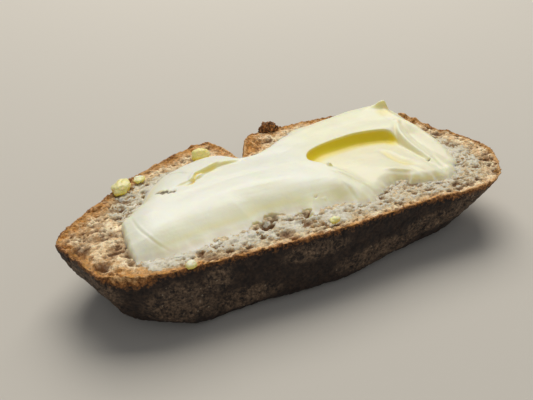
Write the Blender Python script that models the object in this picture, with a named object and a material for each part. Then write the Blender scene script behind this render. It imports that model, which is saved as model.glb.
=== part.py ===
"""A thick slice of crusty country bread, cut side up, under a swirl of butter.

The table is z = 0 and the cut face is z = THICKNESS. X runs along the slice,
the straight front crust faces -Y, and the domed side with its notch faces +Y.
Everything is worked out in millimetres and scaled to metres in new_object.
"""
from collections import namedtuple

import bmesh
import bpy
import numpy as np
from mathutils import Vector, noise

MM = 0.001
CENTRE = (0.0, 0.8, 0.0)  # mm from the outlines' origin to the middle of the whole slice

# ---- Bread, in millimetres ----
THICKNESS = 26.0
# Rim of the cut face, as four sides between its four corners
FRONT_RIM = ((-86, -35), (-69, -42), (-40, -43.5), (0, -44.3), (40, -41.8), (70, -42), (83, -37))
RIGHT_RIM = ((83, -37), (92, -24), (95, -15), (91, 2), (86, 11), (82.5, 27))
BACK_RIM = (
    (-82, 6), (-66, 19), (-45, 33), (-22, 42.5), (-17, 40.5), (-13.5, 31), (-11.5, 21.5),
    (-7, 27), (-3.5, 35), (5, 42), (30, 44.3), (58, 43), (75, 37.5), (82.5, 27),
)
LEFT_RIM = ((-86, -35), (-91.5, -20), (-95, -9.5), (-90, -2), (-82, 6))
BREAD_COLUMNS = 56
BREAD_ROWS = 18
WALL_DEPTHS = (0.1, 0.25, 0.42, 0.6, 0.75, 0.87, 0.95, 1.0)   # fractions of THICKNESS

LEFT_ROUND = 0.24         # share of x that the rounded left end loses at the bottom
RIGHT_SLANT = 0.22        # share of x that the slanted right end loses at the bottom
BACK_ROUND = 13.0         # how far the domed back tucks in at the bottom
FRONT_BULGE = 1.6         # how far the front crust swells at mid depth
FRONT_TUCK = 7.0          # how far the front crust tucks in at the bottom, at x = FRONT_TUCK_AT
FRONT_TUCK_AT = 60.0
FRONT_TUCK_POWER = 1.6    # how that grows from x = 0 towards the right end
HEEL = (-64.0, 14.0, 2.2)  # low swelling of the front crust: x, half width, size
FOOT_RADIUS = 4.0         # rounding where the crust meets the table
FOOT_DEPTH = 0.8          # depth fraction where that rounding starts
NOTCH = (-20.0, 6.0)      # x range of the notch in the domed side
NOTCH_TOP = 42.5          # y of its shoulders
NOTCH_FADE = 0.55         # share of its depth that it loses by the bottom

CRUST_BUMP = 0.5          # height of the crust's unevenness
CRUST_BUMP_SIZE = 9.0
CRUMB_DIP = 0.9           # depth of the crumb's unevenness
CRUMB_DIP_SIZE = 8.0
# Large pores in the crumb: x, y, radius, depth
PORES = (
    (-88.0, -16.0, 4.0, 1.8), (-83.5, -30.0, 4.5, 2.2), (-76.5, -26.5, 4.0, 2.4),
    (-81.5, -12.5, 3.0, 1.5), (-77.0, 5.0, 3.5, 1.3), (86.0, -25.0, 4.0, 1.8),
    (80.0, -33.0, 3.5, 1.2), (84.0, 6.0, 3.5, 1.4), (60.0, -37.5, 4.0, 1.2),
)
# Burnt ear of crust beside the notch
EAR_PLACE = (12.0, 44.5)
EAR_RADIUS = 5.5
EAR_HEIGHT = 3.6
EAR_PROUD = 2.2

# ---- Butter, in millimetres; heights are above the cut face ----
GAP = 0.3
FRONT_EDGE = (
    (-72.5, -33), (-62, -34.5), (-50, -34), (-35, -32.5), (-26, -31.5), (-21, -28.5), (-15, -28.5),
    (-8, -29), (-3, -33), (10, -31), (20, -35), (29, -29), (40, -25), (52, -31), (65, -30),
)
# Line across the butter that the grid follows, along the upper edge of the scoop
MIDDLE = (
    (-72, -9.5), (-60, -7), (-50, -5), (-40, -3.8), (-30, -3), (-21, -3), (-12, -3.5), (-6, -4), (-1, -4),
    (5, -3), (9, -1.5), (15, 4.4), (26, 8.6), (41, 10.1), (54.5, 8.2), (75.5, 2),
)
RIGHT_EDGE = ((65, -30), (73, -19), (75.5, -8), (75.5, 2))
RIGHT_EDGE_REAR = ((75.5, 2), (75, 12), (73, 22), (68.5, 31))
BACK_EDGE = (
    (-52, 17), (-45, 21.5), (-37, 23.5), (-24, 23), (-14, 17), (-4, 17.5),
    (9, 27), (22, 37), (36, 39.5), (50, 39), (60.5, 36.5), (68.5, 31),
)
LEFT_EDGE = ((-72.5, -33), (-73.2, -22), (-72, -9.5))
LEFT_EDGE_REAR = ((-72, -9.5), (-67, -3), (-60.5, 4), (-56.5, 11), (-52, 17))
# Width of the slope that falls to the front edge: x, width
FRONT_SLOPE = ((-75, 8), (-62, 14), (-44, 22), (0, 22), (10, 15), (18, 9), (30, 6), (60, 5), (75, 5))
BUTTER_COLUMNS = 72
BUTTER_ROWS = 16
BUTTER_ROWS_REAR = 10
EDGE_CROWDING = 0.5       # how much a grid gathers at its edges
EDGE_ROUND = 3.4          # width of the rounded outer edge
EDGE_THICKNESS = 0.5      # what is left of the butter at the outline
FILM = 1.1                # thinnest butter inside the outline
BLEND = 0.7               # smoothing where two strokes meet

# A knife stroke: its crest as (x, y, height), the reach of its slopes to the left and
# right of its direction, and how full those slopes are
Stroke = namedtuple("Stroke", "crest left right fullness")
STROKES = (
    # main body, lying along the front
    Stroke(((-84, -19, 4.6), (-62, -12, 5.3), (-40, -8, 6.0), (-18, -6, 6.5), (8, -6, 6.0)), 26, 27, 2.6),
    # rear sheet, whose front edge is a small step onto the body
    Stroke(((-54, -1, 3.0), (-46, 1.5, 5.9), (-38, 3, 6.8), (-34, 6.5, 7.0), (-24, 11.5, 6.2), (-10, 13, 3.6)),
           18, 2.4, 2.0),
    # rear ridge, rising to the right
    Stroke(((-12, 11, 4.6), (6, 16, 5.6), (25, 22, 6.8), (43, 26, 7.5), (52, 27.5, 8.0), (60, 27.5, 8.9)),
           11.5, 24, 2.2),
    # plateau above the scoop
    Stroke(((2, -3, 6.0), (16, 7, 6.3), (32, 11, 6.6), (48, 13, 7.0), (60, 12, 7.2)), 16, 14, 2.4),
    # outer ridge on the right, from the peak down to the outline
    Stroke(((64, 26.5, 9.4), (66, 16, 7.9), (69, 7, 6.7), (70.5, 0, 5.4), (71.5, -8, 4.0), (73, -18, 1.8)),
           5.5, 12, 1.5),
    # front lobe beside the scoop
    Stroke(((8, -4, 6.0), (13, -9, 5.8), (17, -15, 5.0), (20, -22, 3.6), (23, -31, 1.8)), 9, 15, 1.8),
)
# Edge of the knife's scoop as (x, y, width of its wall); the scoop is on the right of it
SCOOP_EDGE = (
    (27, -38, 4.0), (24, -28, 3.6), (21, -19, 3.6), (17.5, -12, 3.8), (13, -7, 3.8), (9.0, -1.5, 3.4),
    (15, 4.4, 2.6), (26, 8.6, 2.0), (41, 10.1, 2.0), (54.5, 8.2, 2.4), (58.5, 2, 3.0), (60, -6, 3.6),
    (60, -20, 4.0), (59, -38, 4.0),
)
# Strokes on the floor of the scoop
SCOOP_STROKES = (
    Stroke(((12, -3, 2.0), (26, -4, 2.7), (40, -5, 3.1), (50, -8, 3.0), (57, -18, 2.2)), 15, 16, 1.7),
    Stroke(((30, -12, 1.8), (40, -18, 2.5), (46, -26, 1.9)), 9, 9, 1.6),
)
# Upright tip at the peak: x, y, radius, extra height
TIP = (65.0, 26.4, 4.4, 3.4)

# ---- Loose dabs of butter ----
Dab = namedtuple("Dab", "name place radii height turn lumps detail")
DABS = (
    Dab("butter_dab_left", (-65.3, 16.2), (4.8, 3.3), 4.2, 0.9, 0.30, 3),
    Dab("butter_dab_back", (-27.3, 29.0), (4.2, 3.2), 3.8, -0.2, 0.22, 3),
    Dab("butter_dab_front", (-56.5, -42.6), (2.1, 1.8), 2.2, 0.5, 0.20, 2),
)

# Base colours (linear RGB) and roughness
CRUST_LOOK = ((0.10, 0.055, 0.03), 0.85)
BUTTER_LOOK = ((0.83, 0.76, 0.48), 0.45)


def smooth_step(low, high, value):
    """0 at low, 1 at high, with level ends; high may be the smaller one."""
    t = np.clip((value - low) / (high - low), 0.0, 1.0)
    return t * t * (3.0 - 2.0 * t)


def spline(points, count):
    """Catmull-Rom curve through points, read at count + 1 even parameters."""
    rows = np.array(points, float)
    rows = np.vstack((2 * rows[0] - rows[1], rows, 2 * rows[-1] - rows[-2]))
    t = np.linspace(0.0, len(points) - 1, count + 1)
    span = np.minimum(t.astype(int), len(points) - 2)
    f = (t - span)[:, None]
    a, b, c, d = (rows[span + k] for k in range(4))
    return 0.5 * (2 * b + (c - a) * f + (2 * a - 5 * b + 4 * c - d) * f**2 + (3 * b - a - 3 * c + d) * f**3)


def crowd(count, amount):
    """count + 1 parameters from 0 to 1 that gather at both ends."""
    t = np.linspace(0.0, 1.0, count + 1)
    return (1.0 - amount) * t + amount * smooth_step(0.0, 1.0, t)


def read_curve(points, parameters):
    """The curve through points at any parameters from 0 to 1."""
    fine = spline(points, 400)
    steps = np.linspace(0.0, 1.0, len(fine))
    return np.stack([np.interp(parameters, steps, fine[:, k]) for k in range(fine.shape[1])], 1)


def coons_patch(sides, u, v):
    """Plan positions inside four sides (front, right, back, left), indexed [row, column]."""
    front, right, back, left = sides
    low, high = read_curve(front, u)[None], read_curve(back, u)[None]
    near, far = read_curve(left, v)[:, None], read_curve(right, v)[:, None]
    u, v = u[None, :, None], v[:, None, None]
    corners = (1 - v) * ((1 - u) * low[:, :1] + u * low[:, -1:]) + v * ((1 - u) * high[:, :1] + u * high[:, -1:])
    return (1 - v) * low + v * high + (1 - u) * near + u * far - corners


def bent_grid(mesh, plan):
    """A Blender grid in mesh, bent to a plan of [row, column] places; returns its vertices."""
    rows, columns, _ = plan.shape
    bmesh.ops.create_grid(mesh, x_segments=columns - 1, y_segments=rows - 1, size=1.0)
    verts = sorted(mesh.verts, key=lambda vert: (round(vert.co.y, 4), round(vert.co.x, 4)))
    for vert, place in zip(verts, plan.reshape(-1, 2)):
        vert.co = (*place, 0.0)
    return verts


def open_edges(mesh):
    return [edge for edge in mesh.edges if edge.is_boundary]


def extrude_rim(mesh):
    """Extrudes the open rim of mesh in place and returns the new vertices."""
    grown = bmesh.ops.extrude_edge_only(mesh, edges=open_edges(mesh))["geom"]
    return [item for item in grown if isinstance(item, bmesh.types.BMVert)]


def new_object(name, mesh, material, collection):
    """Closes mesh with a flat base, scales it to metres and adds it as an object."""
    bmesh.ops.contextual_create(mesh, geom=open_edges(mesh))
    bmesh.ops.translate(mesh, vec=CENTRE, verts=mesh.verts)
    bmesh.ops.scale(mesh, vec=(MM, MM, MM), verts=mesh.verts)
    bmesh.ops.recalc_face_normals(mesh, faces=mesh.faces)
    data = bpy.data.meshes.new(name)
    mesh.to_mesh(data)
    mesh.free()
    data.shade_smooth()
    data.materials.append(material)
    thing = bpy.data.objects.new(name, data)
    collection.objects.link(thing)
    return thing


def new_material(name, look):
    colour, roughness = look
    material = bpy.data.materials.new(name)
    material.use_nodes = True
    shader = material.node_tree.nodes["Principled BSDF"]
    shader.inputs["Base Color"].default_value = (*colour, 1.0)
    shader.inputs["Roughness"].default_value = roughness
    shader.inputs["Metallic"].default_value = 0.0
    return material


def crust_point(x, y, depth):
    """Place of the crust at a depth fraction below the rim point (x, y)."""
    round_in = 1.0 - np.sqrt(max(0.0, 1.0 - depth**1.5))
    foot = max(0.0, depth - FOOT_DEPTH) / (1.0 - FOOT_DEPTH)
    foot = FOOT_RADIUS * (1.0 - np.sqrt(max(0.0, 1.0 - foot**2)))
    front = smooth_step(-20.0, -38.0, y)
    back = smooth_step(-10.0, 35.0, y)
    if NOTCH[0] < x < NOTCH[1] and y > 0.0:
        y += max(0.0, NOTCH_TOP - y) * NOTCH_FADE * depth
    heel_x, heel_width, heel_size = HEEL
    heel = heel_size * max(0.0, 1.0 - ((x - heel_x) / heel_width)**2)**2
    y += front * (foot - FRONT_BULGE * np.sin(np.pi * depth) - heel * depth)
    y += front * depth * FRONT_TUCK * (max(0.0, x) / FRONT_TUCK_AT)**FRONT_TUCK_POWER
    y -= back * (foot + BACK_ROUND * round_in)
    if x < 0.0:
        x *= 1.0 - LEFT_ROUND * round_in
    else:
        x *= 1.0 - RIGHT_SLANT * depth
        x -= foot * smooth_step(30.0, 60.0, x)
    return Vector((x, y, THICKNESS * (1.0 - depth)))


def crumb_dip(x, y):
    """How far the crumb lies below the level of the cut."""
    dip = CRUMB_DIP * (0.5 + 0.5 * noise.noise(Vector((x, y, 0.0)) / CRUMB_DIP_SIZE))
    for pore_x, pore_y, radius, depth in PORES:
        reach = ((x - pore_x)**2 + (y - pore_y)**2) / radius**2
        dip += depth * max(0.0, 1.0 - reach)**2
    return dip


def ear(x, y):
    """1 at the middle of the burnt ear, 0 outside it."""
    reach = ((x - EAR_PLACE[0])**2 + (y - EAR_PLACE[1])**2) / EAR_RADIUS**2
    return max(0.0, 1.0 - reach)**2


def bread_slice(collection):
    mesh = bmesh.new()
    rim = mesh.verts.layers.float_vector.new("rim")
    u = np.linspace(0.0, 1.0, BREAD_COLUMNS + 1)
    v = crowd(BREAD_ROWS, EDGE_CROWDING)
    bent_grid(mesh, coons_patch((FRONT_RIM, RIGHT_RIM, BACK_RIM, LEFT_RIM), u, v))
    for vert in mesh.verts:
        x, y, _ = vert.co
        vert[rim] = vert.co
        dip = 0.0 if vert.is_boundary else crumb_dip(x, y)
        vert.co.z = THICKNESS - dip + EAR_HEIGHT * ear(x, y)
    for depth in WALL_DEPTHS:
        for vert in extrude_rim(mesh):
            x, y, _ = vert[rim]
            vert.co = crust_point(x, y, depth)
            if depth < 1.0:
                outward = Vector((x / 4.0, y, 0.0)).normalized()
                vert.co += outward * CRUST_BUMP * noise.noise(vert.co / CRUST_BUMP_SIZE)
                vert.co += outward * EAR_PROUD * ear(x, y) * (1.0 - depth)
    return new_object("bread_slice", mesh, new_material("crusty bread", CRUST_LOOK), collection)


def nearest(x, y, curve):
    """Distance from the points (x, y) to a curve, on which side, and its other columns there.

    The side is positive to the left of the curve's direction.
    """
    start, step = curve[:-1], np.diff(curve, axis=0)
    to_x, to_y = x[:, None] - start[:, 0], y[:, None] - start[:, 1]
    length = np.maximum(step[:, 0]**2 + step[:, 1]**2, 1e-9)
    along = np.clip((to_x * step[:, 0] + to_y * step[:, 1]) / length, 0.0, 1.0)
    gap_x, gap_y = to_x - along * step[:, 0], to_y - along * step[:, 1]
    row, best = np.arange(len(x)), np.argmin(gap_x**2 + gap_y**2, axis=1)
    away = np.hypot(gap_x[row, best], gap_y[row, best])
    side = step[best, 0] * gap_y[row, best] - step[best, 1] * gap_x[row, best]
    return away, side, start[best, 2:] + along[row, best, None] * step[best, 2:]


def stroke_height(x, y, stroke):
    """Height of one knife stroke at the points (x, y)."""
    away, side, crest = nearest(x, y, spline(stroke.crest, 6 * (len(stroke.crest) - 1)))
    reach = np.where(side > 0.0, stroke.left, stroke.right)
    return crest[:, 0] * (1.0 - np.clip(away / reach, 0.0, 1.0)**stroke.fullness)


def highest(x, y, strokes):
    """Strokes laid over a thin film, smoothed where they meet."""
    height = np.full(len(x), FILM)
    for stroke in strokes:
        other = stroke_height(x, y, stroke)
        overlap = np.maximum(0.0, 1.0 - np.abs(height - other) / BLEND)
        height = np.maximum(height, other) + 0.25 * BLEND * overlap**2
    return height


def butter_outline():
    """The butter's outline as one closed loop."""
    sides = (
        FRONT_EDGE, RIGHT_EDGE, RIGHT_EDGE_REAR,
        BACK_EDGE[::-1], LEFT_EDGE_REAR[::-1], LEFT_EDGE[::-1],
    )
    return np.vstack([spline(side, 8 * (len(side) - 1)) for side in sides])


def butter_height(x, y):
    """Height of the butter's surface above the cut face."""
    height = highest(x, y, STROKES)
    tip_x, tip_y, radius, extra = TIP
    height += extra * np.maximum(0.0, 1.0 - np.hypot(x - tip_x, y - tip_y) / radius)**1.3
    away, side, wall = nearest(x, y, spline(SCOOP_EDGE, 6 * (len(SCOOP_EDGE) - 1)))
    outside = smooth_step(-1.0, 0.0, np.sign(side) * away / wall[:, 0])
    floor = np.minimum(height, highest(x, y, SCOOP_STROKES))
    height = floor + (height - floor) * outside
    inward = np.clip(nearest(x, y, butter_outline())[0] / EDGE_ROUND, 0.0, 1.0)
    slope = np.interp(x, *zip(*FRONT_SLOPE))
    front = np.clip(nearest(x, y, spline(FRONT_EDGE, 8 * (len(FRONT_EDGE) - 1)))[0] / slope, 0.0, 1.0)
    covered = np.minimum(np.sqrt(1.0 - (1.0 - inward)**2), 1.0 - (1.0 - front)**2)
    return EDGE_THICKNESS + (height - EDGE_THICKNESS) * covered


def butter_spread(material, collection):
    mesh = bmesh.new()
    u = crowd(BUTTER_COLUMNS, EDGE_CROWDING)
    near = coons_patch((FRONT_EDGE, RIGHT_EDGE, MIDDLE, LEFT_EDGE), u, crowd(BUTTER_ROWS, EDGE_CROWDING))
    rear = (MIDDLE, RIGHT_EDGE_REAR, BACK_EDGE, LEFT_EDGE_REAR)
    rear = coons_patch(rear, u, crowd(BUTTER_ROWS_REAR, EDGE_CROWDING))
    plan = np.concatenate((near[:-1], rear))
    verts = bent_grid(mesh, plan)
    for vert, height in zip(verts, butter_height(*plan.reshape(-1, 2).T)):
        vert.co.z = THICKNESS + GAP + height
    for vert in extrude_rim(mesh):
        vert.co.z = THICKNESS + GAP
    return new_object("butter_spread", mesh, material, collection)


def butter_dab(dab, material, collection):
    """A lump that fell off the knife, flat where it sits on the bread."""
    mesh = bmesh.new()
    bmesh.ops.create_icosphere(mesh, subdivisions=dab.detail, radius=1.0)
    turn, base = dab.turn, THICKNESS + GAP
    for vert in mesh.verts:
        lump = 1.0 + dab.lumps * noise.noise(vert.co * 1.2 + Vector((*dab.place, 0.0)))
        x, y, z = vert.co.x * dab.radii[0] * lump, vert.co.y * dab.radii[1] * lump, vert.co.z * lump
        vert.co.x = dab.place[0] + x * np.cos(turn) - y * np.sin(turn)
        vert.co.y = dab.place[1] + x * np.sin(turn) + y * np.cos(turn)
        vert.co.z = base + dab.height * (0.35 + 0.65 * z)
    bmesh.ops.bisect_plane(
        mesh, geom=mesh.verts[:] + mesh.edges[:] + mesh.faces[:], dist=1e-4,
        plane_co=(0.0, 0.0, base), plane_no=(0.0, 0.0, -1.0), clear_outer=True,
    )
    return new_object(dab.name, mesh, material, collection)


def main():
    for old in list(bpy.data.objects):
        bpy.data.objects.remove(old, do_unlink=True)
    collection = bpy.data.collections.new("buttered_bread_slice")
    bpy.context.scene.collection.children.link(collection)
    bread_slice(collection)
    butter_spread(new_material("butter", BUTTER_LOOK), collection)
    for dab in DABS:
        butter_dab(dab, new_material(dab.name, BUTTER_LOOK), collection)


if __name__ == "__main__":
    main()
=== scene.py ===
"""Finish of a buttered bread slice: crust, open crumb, butter with knife marks, smears, dabs and crumbs.

Laid out as an add-on whose panel lists one operator for each piece. Shapes are drawn in millimetres
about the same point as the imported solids, and metres() turns them into the frame's metres.
"""
import math
from collections import namedtuple
from functools import partial

import bmesh
import bpy
import numpy as np
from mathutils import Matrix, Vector, kdtree, noise


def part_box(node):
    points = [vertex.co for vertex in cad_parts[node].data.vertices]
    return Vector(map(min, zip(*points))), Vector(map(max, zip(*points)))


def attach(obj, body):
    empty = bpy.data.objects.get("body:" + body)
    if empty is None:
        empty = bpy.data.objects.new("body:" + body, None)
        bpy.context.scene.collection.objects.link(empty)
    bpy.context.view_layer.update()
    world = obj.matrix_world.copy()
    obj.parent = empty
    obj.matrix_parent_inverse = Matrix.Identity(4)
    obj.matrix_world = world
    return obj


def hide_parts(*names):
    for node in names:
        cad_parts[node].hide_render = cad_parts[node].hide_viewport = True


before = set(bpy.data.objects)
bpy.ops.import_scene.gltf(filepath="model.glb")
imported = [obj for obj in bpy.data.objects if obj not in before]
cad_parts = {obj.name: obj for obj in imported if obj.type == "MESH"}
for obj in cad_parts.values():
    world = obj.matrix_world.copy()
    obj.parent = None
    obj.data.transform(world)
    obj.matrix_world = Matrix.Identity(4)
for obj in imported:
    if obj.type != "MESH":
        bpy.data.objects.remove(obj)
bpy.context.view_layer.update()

bl_info = {
    "name": "Buttered Bread Slice",
    "version": (1, 0, 0),
    "blender": (4, 5, 0),
    "location": "3D View > Sidebar > Bread",
    "description": "Builds the crust, crumb, butter and crumbs of a buttered slice of country bread",
    "category": "Object",
}

MM = 0.001
CENTRE = (0.0, 0.8)                                     # mm that drawn places are moved in the frame
BUTTER_GAP = 0.3                                        # mm that the butter's solid floats above the cut
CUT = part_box("butter_spread")[0].z / MM - BUTTER_GAP    # height of the cut face, in mm

# ---- The slice's rim, as four sides between its corners, in mm ----
FRONT_RIM = ((-86, -35), (-69, -42), (-40, -43.5), (0, -44.3), (40, -41.8), (70, -42), (83, -37))
RIGHT_RIM = ((83, -37), (92, -24), (95, -15), (91, 2), (86, 11), (82.5, 27))
BACK_RIM = (
    (-82, 6), (-66, 19), (-45, 33), (-22, 42.5), (-17, 40.5), (-13.5, 31), (-11.5, 21.5),
    (-7, 27), (-3.5, 35), (5, 42), (30, 44.3), (58, 43), (75, 37.5), (82.5, 27),
)
LEFT_RIM = ((-86, -35), (-91.5, -20), (-95, -9.5), (-90, -2), (-82, 6))
RIM_LOOP = (FRONT_RIM, RIGHT_RIM, BACK_RIM[::-1], LEFT_RIM[::-1])    # the same, following each other

# ---- The crust's form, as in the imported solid; a depth is 0 at the cut and 1 at the table ----
LEFT_ROUND = 0.24                    # share of x that the rounded left end loses at the bottom
RIGHT_SLANT = 0.22                   # share of x that the slanted right end loses at the bottom
BACK_ROUND = 13.0                    # how far the domed back tucks in at the bottom
FRONT_BULGE = 1.6                    # how far the front crust swells at mid depth
FRONT_TUCK = 7.0                     # how far the front tucks in at the bottom, at FRONT_TUCK_AT
FRONT_TUCK_AT = 60.0                 # x
FRONT_TUCK_POWER = 1.6               # how that grows from x = 0 towards the right end
HEEL = (-64.0, 14.0, 2.2)            # low swelling of the front crust: x, half width, size
FOOT_RADIUS = 4.0                    # rounding where the crust meets the table
FOOT_DEPTH = 0.8                     # depth where that rounding starts
NOTCH = (-20.0, 6.0)                 # x range of the notch in the domed side
NOTCH_TOP = 42.5                     # y of its shoulders
NOTCH_FADE = 0.55                    # share of its reach into the slice that it loses by the bottom
# Rings of the crust's lip, from inside out: how far in from the rim and how high above its edge
LIP = ((1.6, -6.8), (1.1, -2.6), (1.0, -1.5), (0.85, -0.6), (0.65, -0.15), (0.42, 0.03), (0.18, 0.0))
LIP_RELIEF = (0.0, 0.0, 0.0, 0.3, 0.7, 0.8, 0.9)     # share of the crust's relief that each of them gets
UNDERSIDE_INSETS = (0.8, 1.6, 2.4)   # how far the crust reaches under the slice, ring by ring
UNDERSIDE_FOLD = 2.0                 # how far its last ring turns up inside
# Burnt ear, as jagged lumps: x, y, height above the cut, radii across, through and up
EAR = (
    (10.6, 42.8, 1.3, 2.3, 2.4, 2.4), (13.6, 43.2, 0.9, 2.6, 2.3, 2.3), (12.6, 42.6, 2.4, 1.5, 1.6, 1.5),
    (15.8, 42.6, 0.3, 1.6, 1.7, 1.4), (8.6, 42.6, 0.2, 1.5, 1.6, 1.3),
)
# Swellings of the rim where the crust tore open: x, y, radius, height
RIM_LUMPS = (
    (-36, 38, 7, 0.7), (-27, 41, 5, 1.0), (-58, 25, 6, 0.5), (2, 38, 5, 1.2), (-5, 31, 4, 0.9),
    (82, 30, 4.0, 1.7), (82.5, 22.5, 3.4, 1.6), (87.0, 15.5, 3.6, 1.3), (90, 6, 5, 0.7), (74, 38, 4.5, 1.0),
    (-2.0, 31.5, 3.6, 1.3), (3.5, 34.5, 3.6, 1.2), (9.0, 36.5, 4.0, 1.0), (-91.5, -19, 4.5, -1.3),
)
# Places where the crust tore and shows golden further down: x, y, radius, depth
TORN = (
    (-78, -40, 12, 3.4), (-90, -28, 8, 0.6), (-11, 30, 15, 9.0), (84, 24, 12, 3.5),
    (-50, 29, 16, 2.0), (-88, 2, 10, 0.6), (30, 45, 16, 1.2), (62, -42, 26, 1.5), (84, -36, 14, 2.5),
    (90, -20, 16, 2.6),
)
# Places where the crumb is golden further in from the rim: x, y, radius
GOLDEN_PATCHES = ((-3.0, 31.0, 14.0), (84.0, 23.0, 12.0))
# Places where the rim's crumb is torn rough: x, y, radius, amount
ROUGH_PATCHES = (
    (-3.0, 31.0, 13.0, 1.0), (83.0, 25.0, 11.0, 1.0), (88.0, 14.0, 7.0, 0.8), (-44.0, 33.0, 12.0, 0.7),
    (-66.0, 19.0, 9.0, 0.6), (-88.0, -4.0, 9.0, 0.7), (14.0, 40.0, 12.0, 0.5),
)
# Larger hollows in the crumb: x, y, radius, depth
HOLLOWS = (
    (-89.0, -18.0, 4.5, 2.6), (-83.6, -29.8, 2.9, 4.5), (-77.0, -21.5, 3.6, 1.8), (-74.0, -26.0, 2.4, 2.2),
    (-73.8, -31.5, 2.0, 2.0), (-79.5, -25.0, 2.6, 1.3), (-81.5, -12.5, 3.0, 1.4), (-85.0, -11.5, 2.2, 1.5),
    (-77.0, 5.0, 3.5, 1.3), (86.5, -23.0, 3.6, 1.8), (83.5, -31.0, 3.0, 1.2), (84, 6, 3.5, 1.4),
    (60, -37.5, 4.0, 1.2), (-71.5, -14.0, 2.0, 1.8), (-69.5, 3.0, 2.2, 1.6), (-23.4, -30.4, 2.8, 3.4),
    (-18.4, -27.2, 2.0, 2.6), (-6.0, -30.6, 2.2, 2.8), (-4.2, -34.2, 1.7, 2.0),
)
# Floury patches of the front and side crust: x, height above the table, reach along x, reach in height
FLOUR_PATCHES = (
    (-62, 13, 12, 9), (-40, 8, 16, 5), (-48, 19, 6, 5), (-88, 16, 8, 9), (20, 9, 22, 6),
    (48, 14, 18, 5), (66, 19, 14, 5), (-10, 20, 14, 4), (84, 14, 20, 14),
)

# ---- Butter, in mm above the cut face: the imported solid's outline, with more of the knife's marks ----
FRONT_EDGE = (
    (-72.5, -33), (-62, -34.5), (-50, -34), (-35, -32.5), (-26, -31.5), (-21, -28.5), (-15, -28.5),
    (-8, -29), (-3, -33), (10, -31), (20, -35), (29, -29), (40, -25), (52, -31), (65, -30),
)
# Line across the butter that the grid follows, along the upper edge of the scoop
MIDDLE = (
    (-72, -9.5), (-60, -7), (-50, -5), (-40, -3.8), (-30, -3), (-21, -3), (-12, -3.5), (-6, -4), (-1, -4),
    (4.5, -3.2), (9.2, -1), (12.5, 3.8), (18.5, 7), (28, 9.2), (41, 10.3), (54.5, 8.2), (75.5, 2),
)
RIGHT_EDGE = ((65, -30), (73, -19), (75.5, -8), (75.5, 2))
RIGHT_EDGE_REAR = ((75.5, 2), (75, 12), (73, 22), (68.5, 31))
BACK_EDGE = (
    (-52, 17), (-45, 21.5), (-37, 23.5), (-24, 23), (-14, 17), (-4, 17.5),
    (9, 27), (22, 37), (36, 39.5), (50, 39), (60.5, 36.5), (68.5, 31),
)
LEFT_EDGE = ((-72.5, -33), (-73.2, -22), (-72, -9.5))
LEFT_EDGE_REAR = ((-72, -9.5), (-67, -3), (-60.5, 4), (-56.5, 11), (-52, 17))
FILM = 1.1                           # thinnest butter inside the outline
BLEND = 1.0                          # height over which two strokes melt into each other
SCOOP_BLEND = 3.2                    # the same for the strokes in the scoop's floor
EDGE_SINK = -1.0                     # how far below the cut the thinned edges run, into the pores
BUTTER_IOR = 1.46
# Width of the slope along the front edge: x, width
FRONT_SLOPE = (
    (-75, 8), (-62, 14), (-44, 21), (-10, 19), (0, 19), (10, 14), (18, 9), (30, 6), (60, 5), (75, 5),
)

# Knife strokes: crest as (x, y, height) points, reach to its left and right, and how full the sides are
Stroke = namedtuple("Stroke", "crest left right fullness")
STROKES = (
    Stroke(((-84, -19, 4.6), (-62, -12, 5.3), (-40, -8, 6.0), (-18, -6, 6.5), (8, -6, 6.0)), 26, 27, 2.6),
    Stroke(((-54, -1, 3.0), (-46, 1.5, 5.9), (-38, 3, 6.8), (-34, 6.5, 7.0), (-24, 11.5, 6.2),
            (-10, 13, 3.6)), 18, 2.4, 2.0),
    Stroke(((-12, 11, 4.6), (6, 16, 5.6), (25, 22, 6.8), (43, 26, 7.5), (52, 27.5, 7.9), (60, 27.5, 8.4)),
           11.5, 24, 2.2),
    Stroke(((2, -3, 6.0), (16, 7, 6.3), (32, 11, 6.6), (48, 13, 7.0), (60, 12, 7.2)), 16, 14, 2.4),
    Stroke(((64, 26.5, 8.8), (66, 16, 7.9), (69, 7, 6.7), (70.5, 0, 5.4), (71.5, -8, 4.0), (73, -18, 1.8)),
           5.5, 12, 1.5),
    Stroke(((8, -4, 6.0), (13, -9, 5.8), (17, -15, 5.0), (20, -22, 3.6), (23, -31, 1.8)), 9, 15, 1.8),
    Stroke(((63.5, 13, 7.6), (61, 9, 7.2), (59.6, 5.2, 6.6), (58.9, -1.3, 5.4), (59.2, -6.3, 4.5),
            (60, -12.1, 3.6), (60.6, -18.4, 2.8), (61.2, -24, 1.6)), 9, 3.5, 1.8),
)
# Rim of the scoop, with the inside on its right: x, y, width of the wall
SCOOP_EDGE = (
    (27, -38, 4.0), (24, -28, 3.6), (21, -19, 3.0), (17, -12, 2.6), (12.5, -7, 2.2), (9.2, -2, 1.5),
    (12.0, 3.6, 1.7), (18.5, 7, 2.1), (28, 9.2, 2.0), (41, 10.3, 1.8), (53.5, 8.4, 1.6), (57, 4.5, 1.6),
    (57.6, -1.5, 1.5), (58.1, -8, 1.4), (59.0, -16, 1.4), (60, -25, 2.0), (60, -38, 3.0),
)
# Along that rim, where the painted shade of its wall, a deep yellow, comes and where it goes again, in mm
SCOOP_SHADE = ((28.0, 34.0), (104.0, 96.0))
SCOOP_STROKES = (
    Stroke(((12, -3, 2.0), (26, -4, 2.5), (40, -5, 2.9), (50, -8, 2.8), (57, -18, 2.1)), 15, 18, 1.7),
    Stroke(((30, -12, 1.8), (40, -18, 2.3), (46, -26, 1.8)), 9, 9, 1.6),
)
# Painted shade: how far the butter in the scoop and on the right flank is dulled towards the film's colour
SHADE_IN_SCOOP, SHADE_ON_FLANK = 0.12, 0.12
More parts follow.
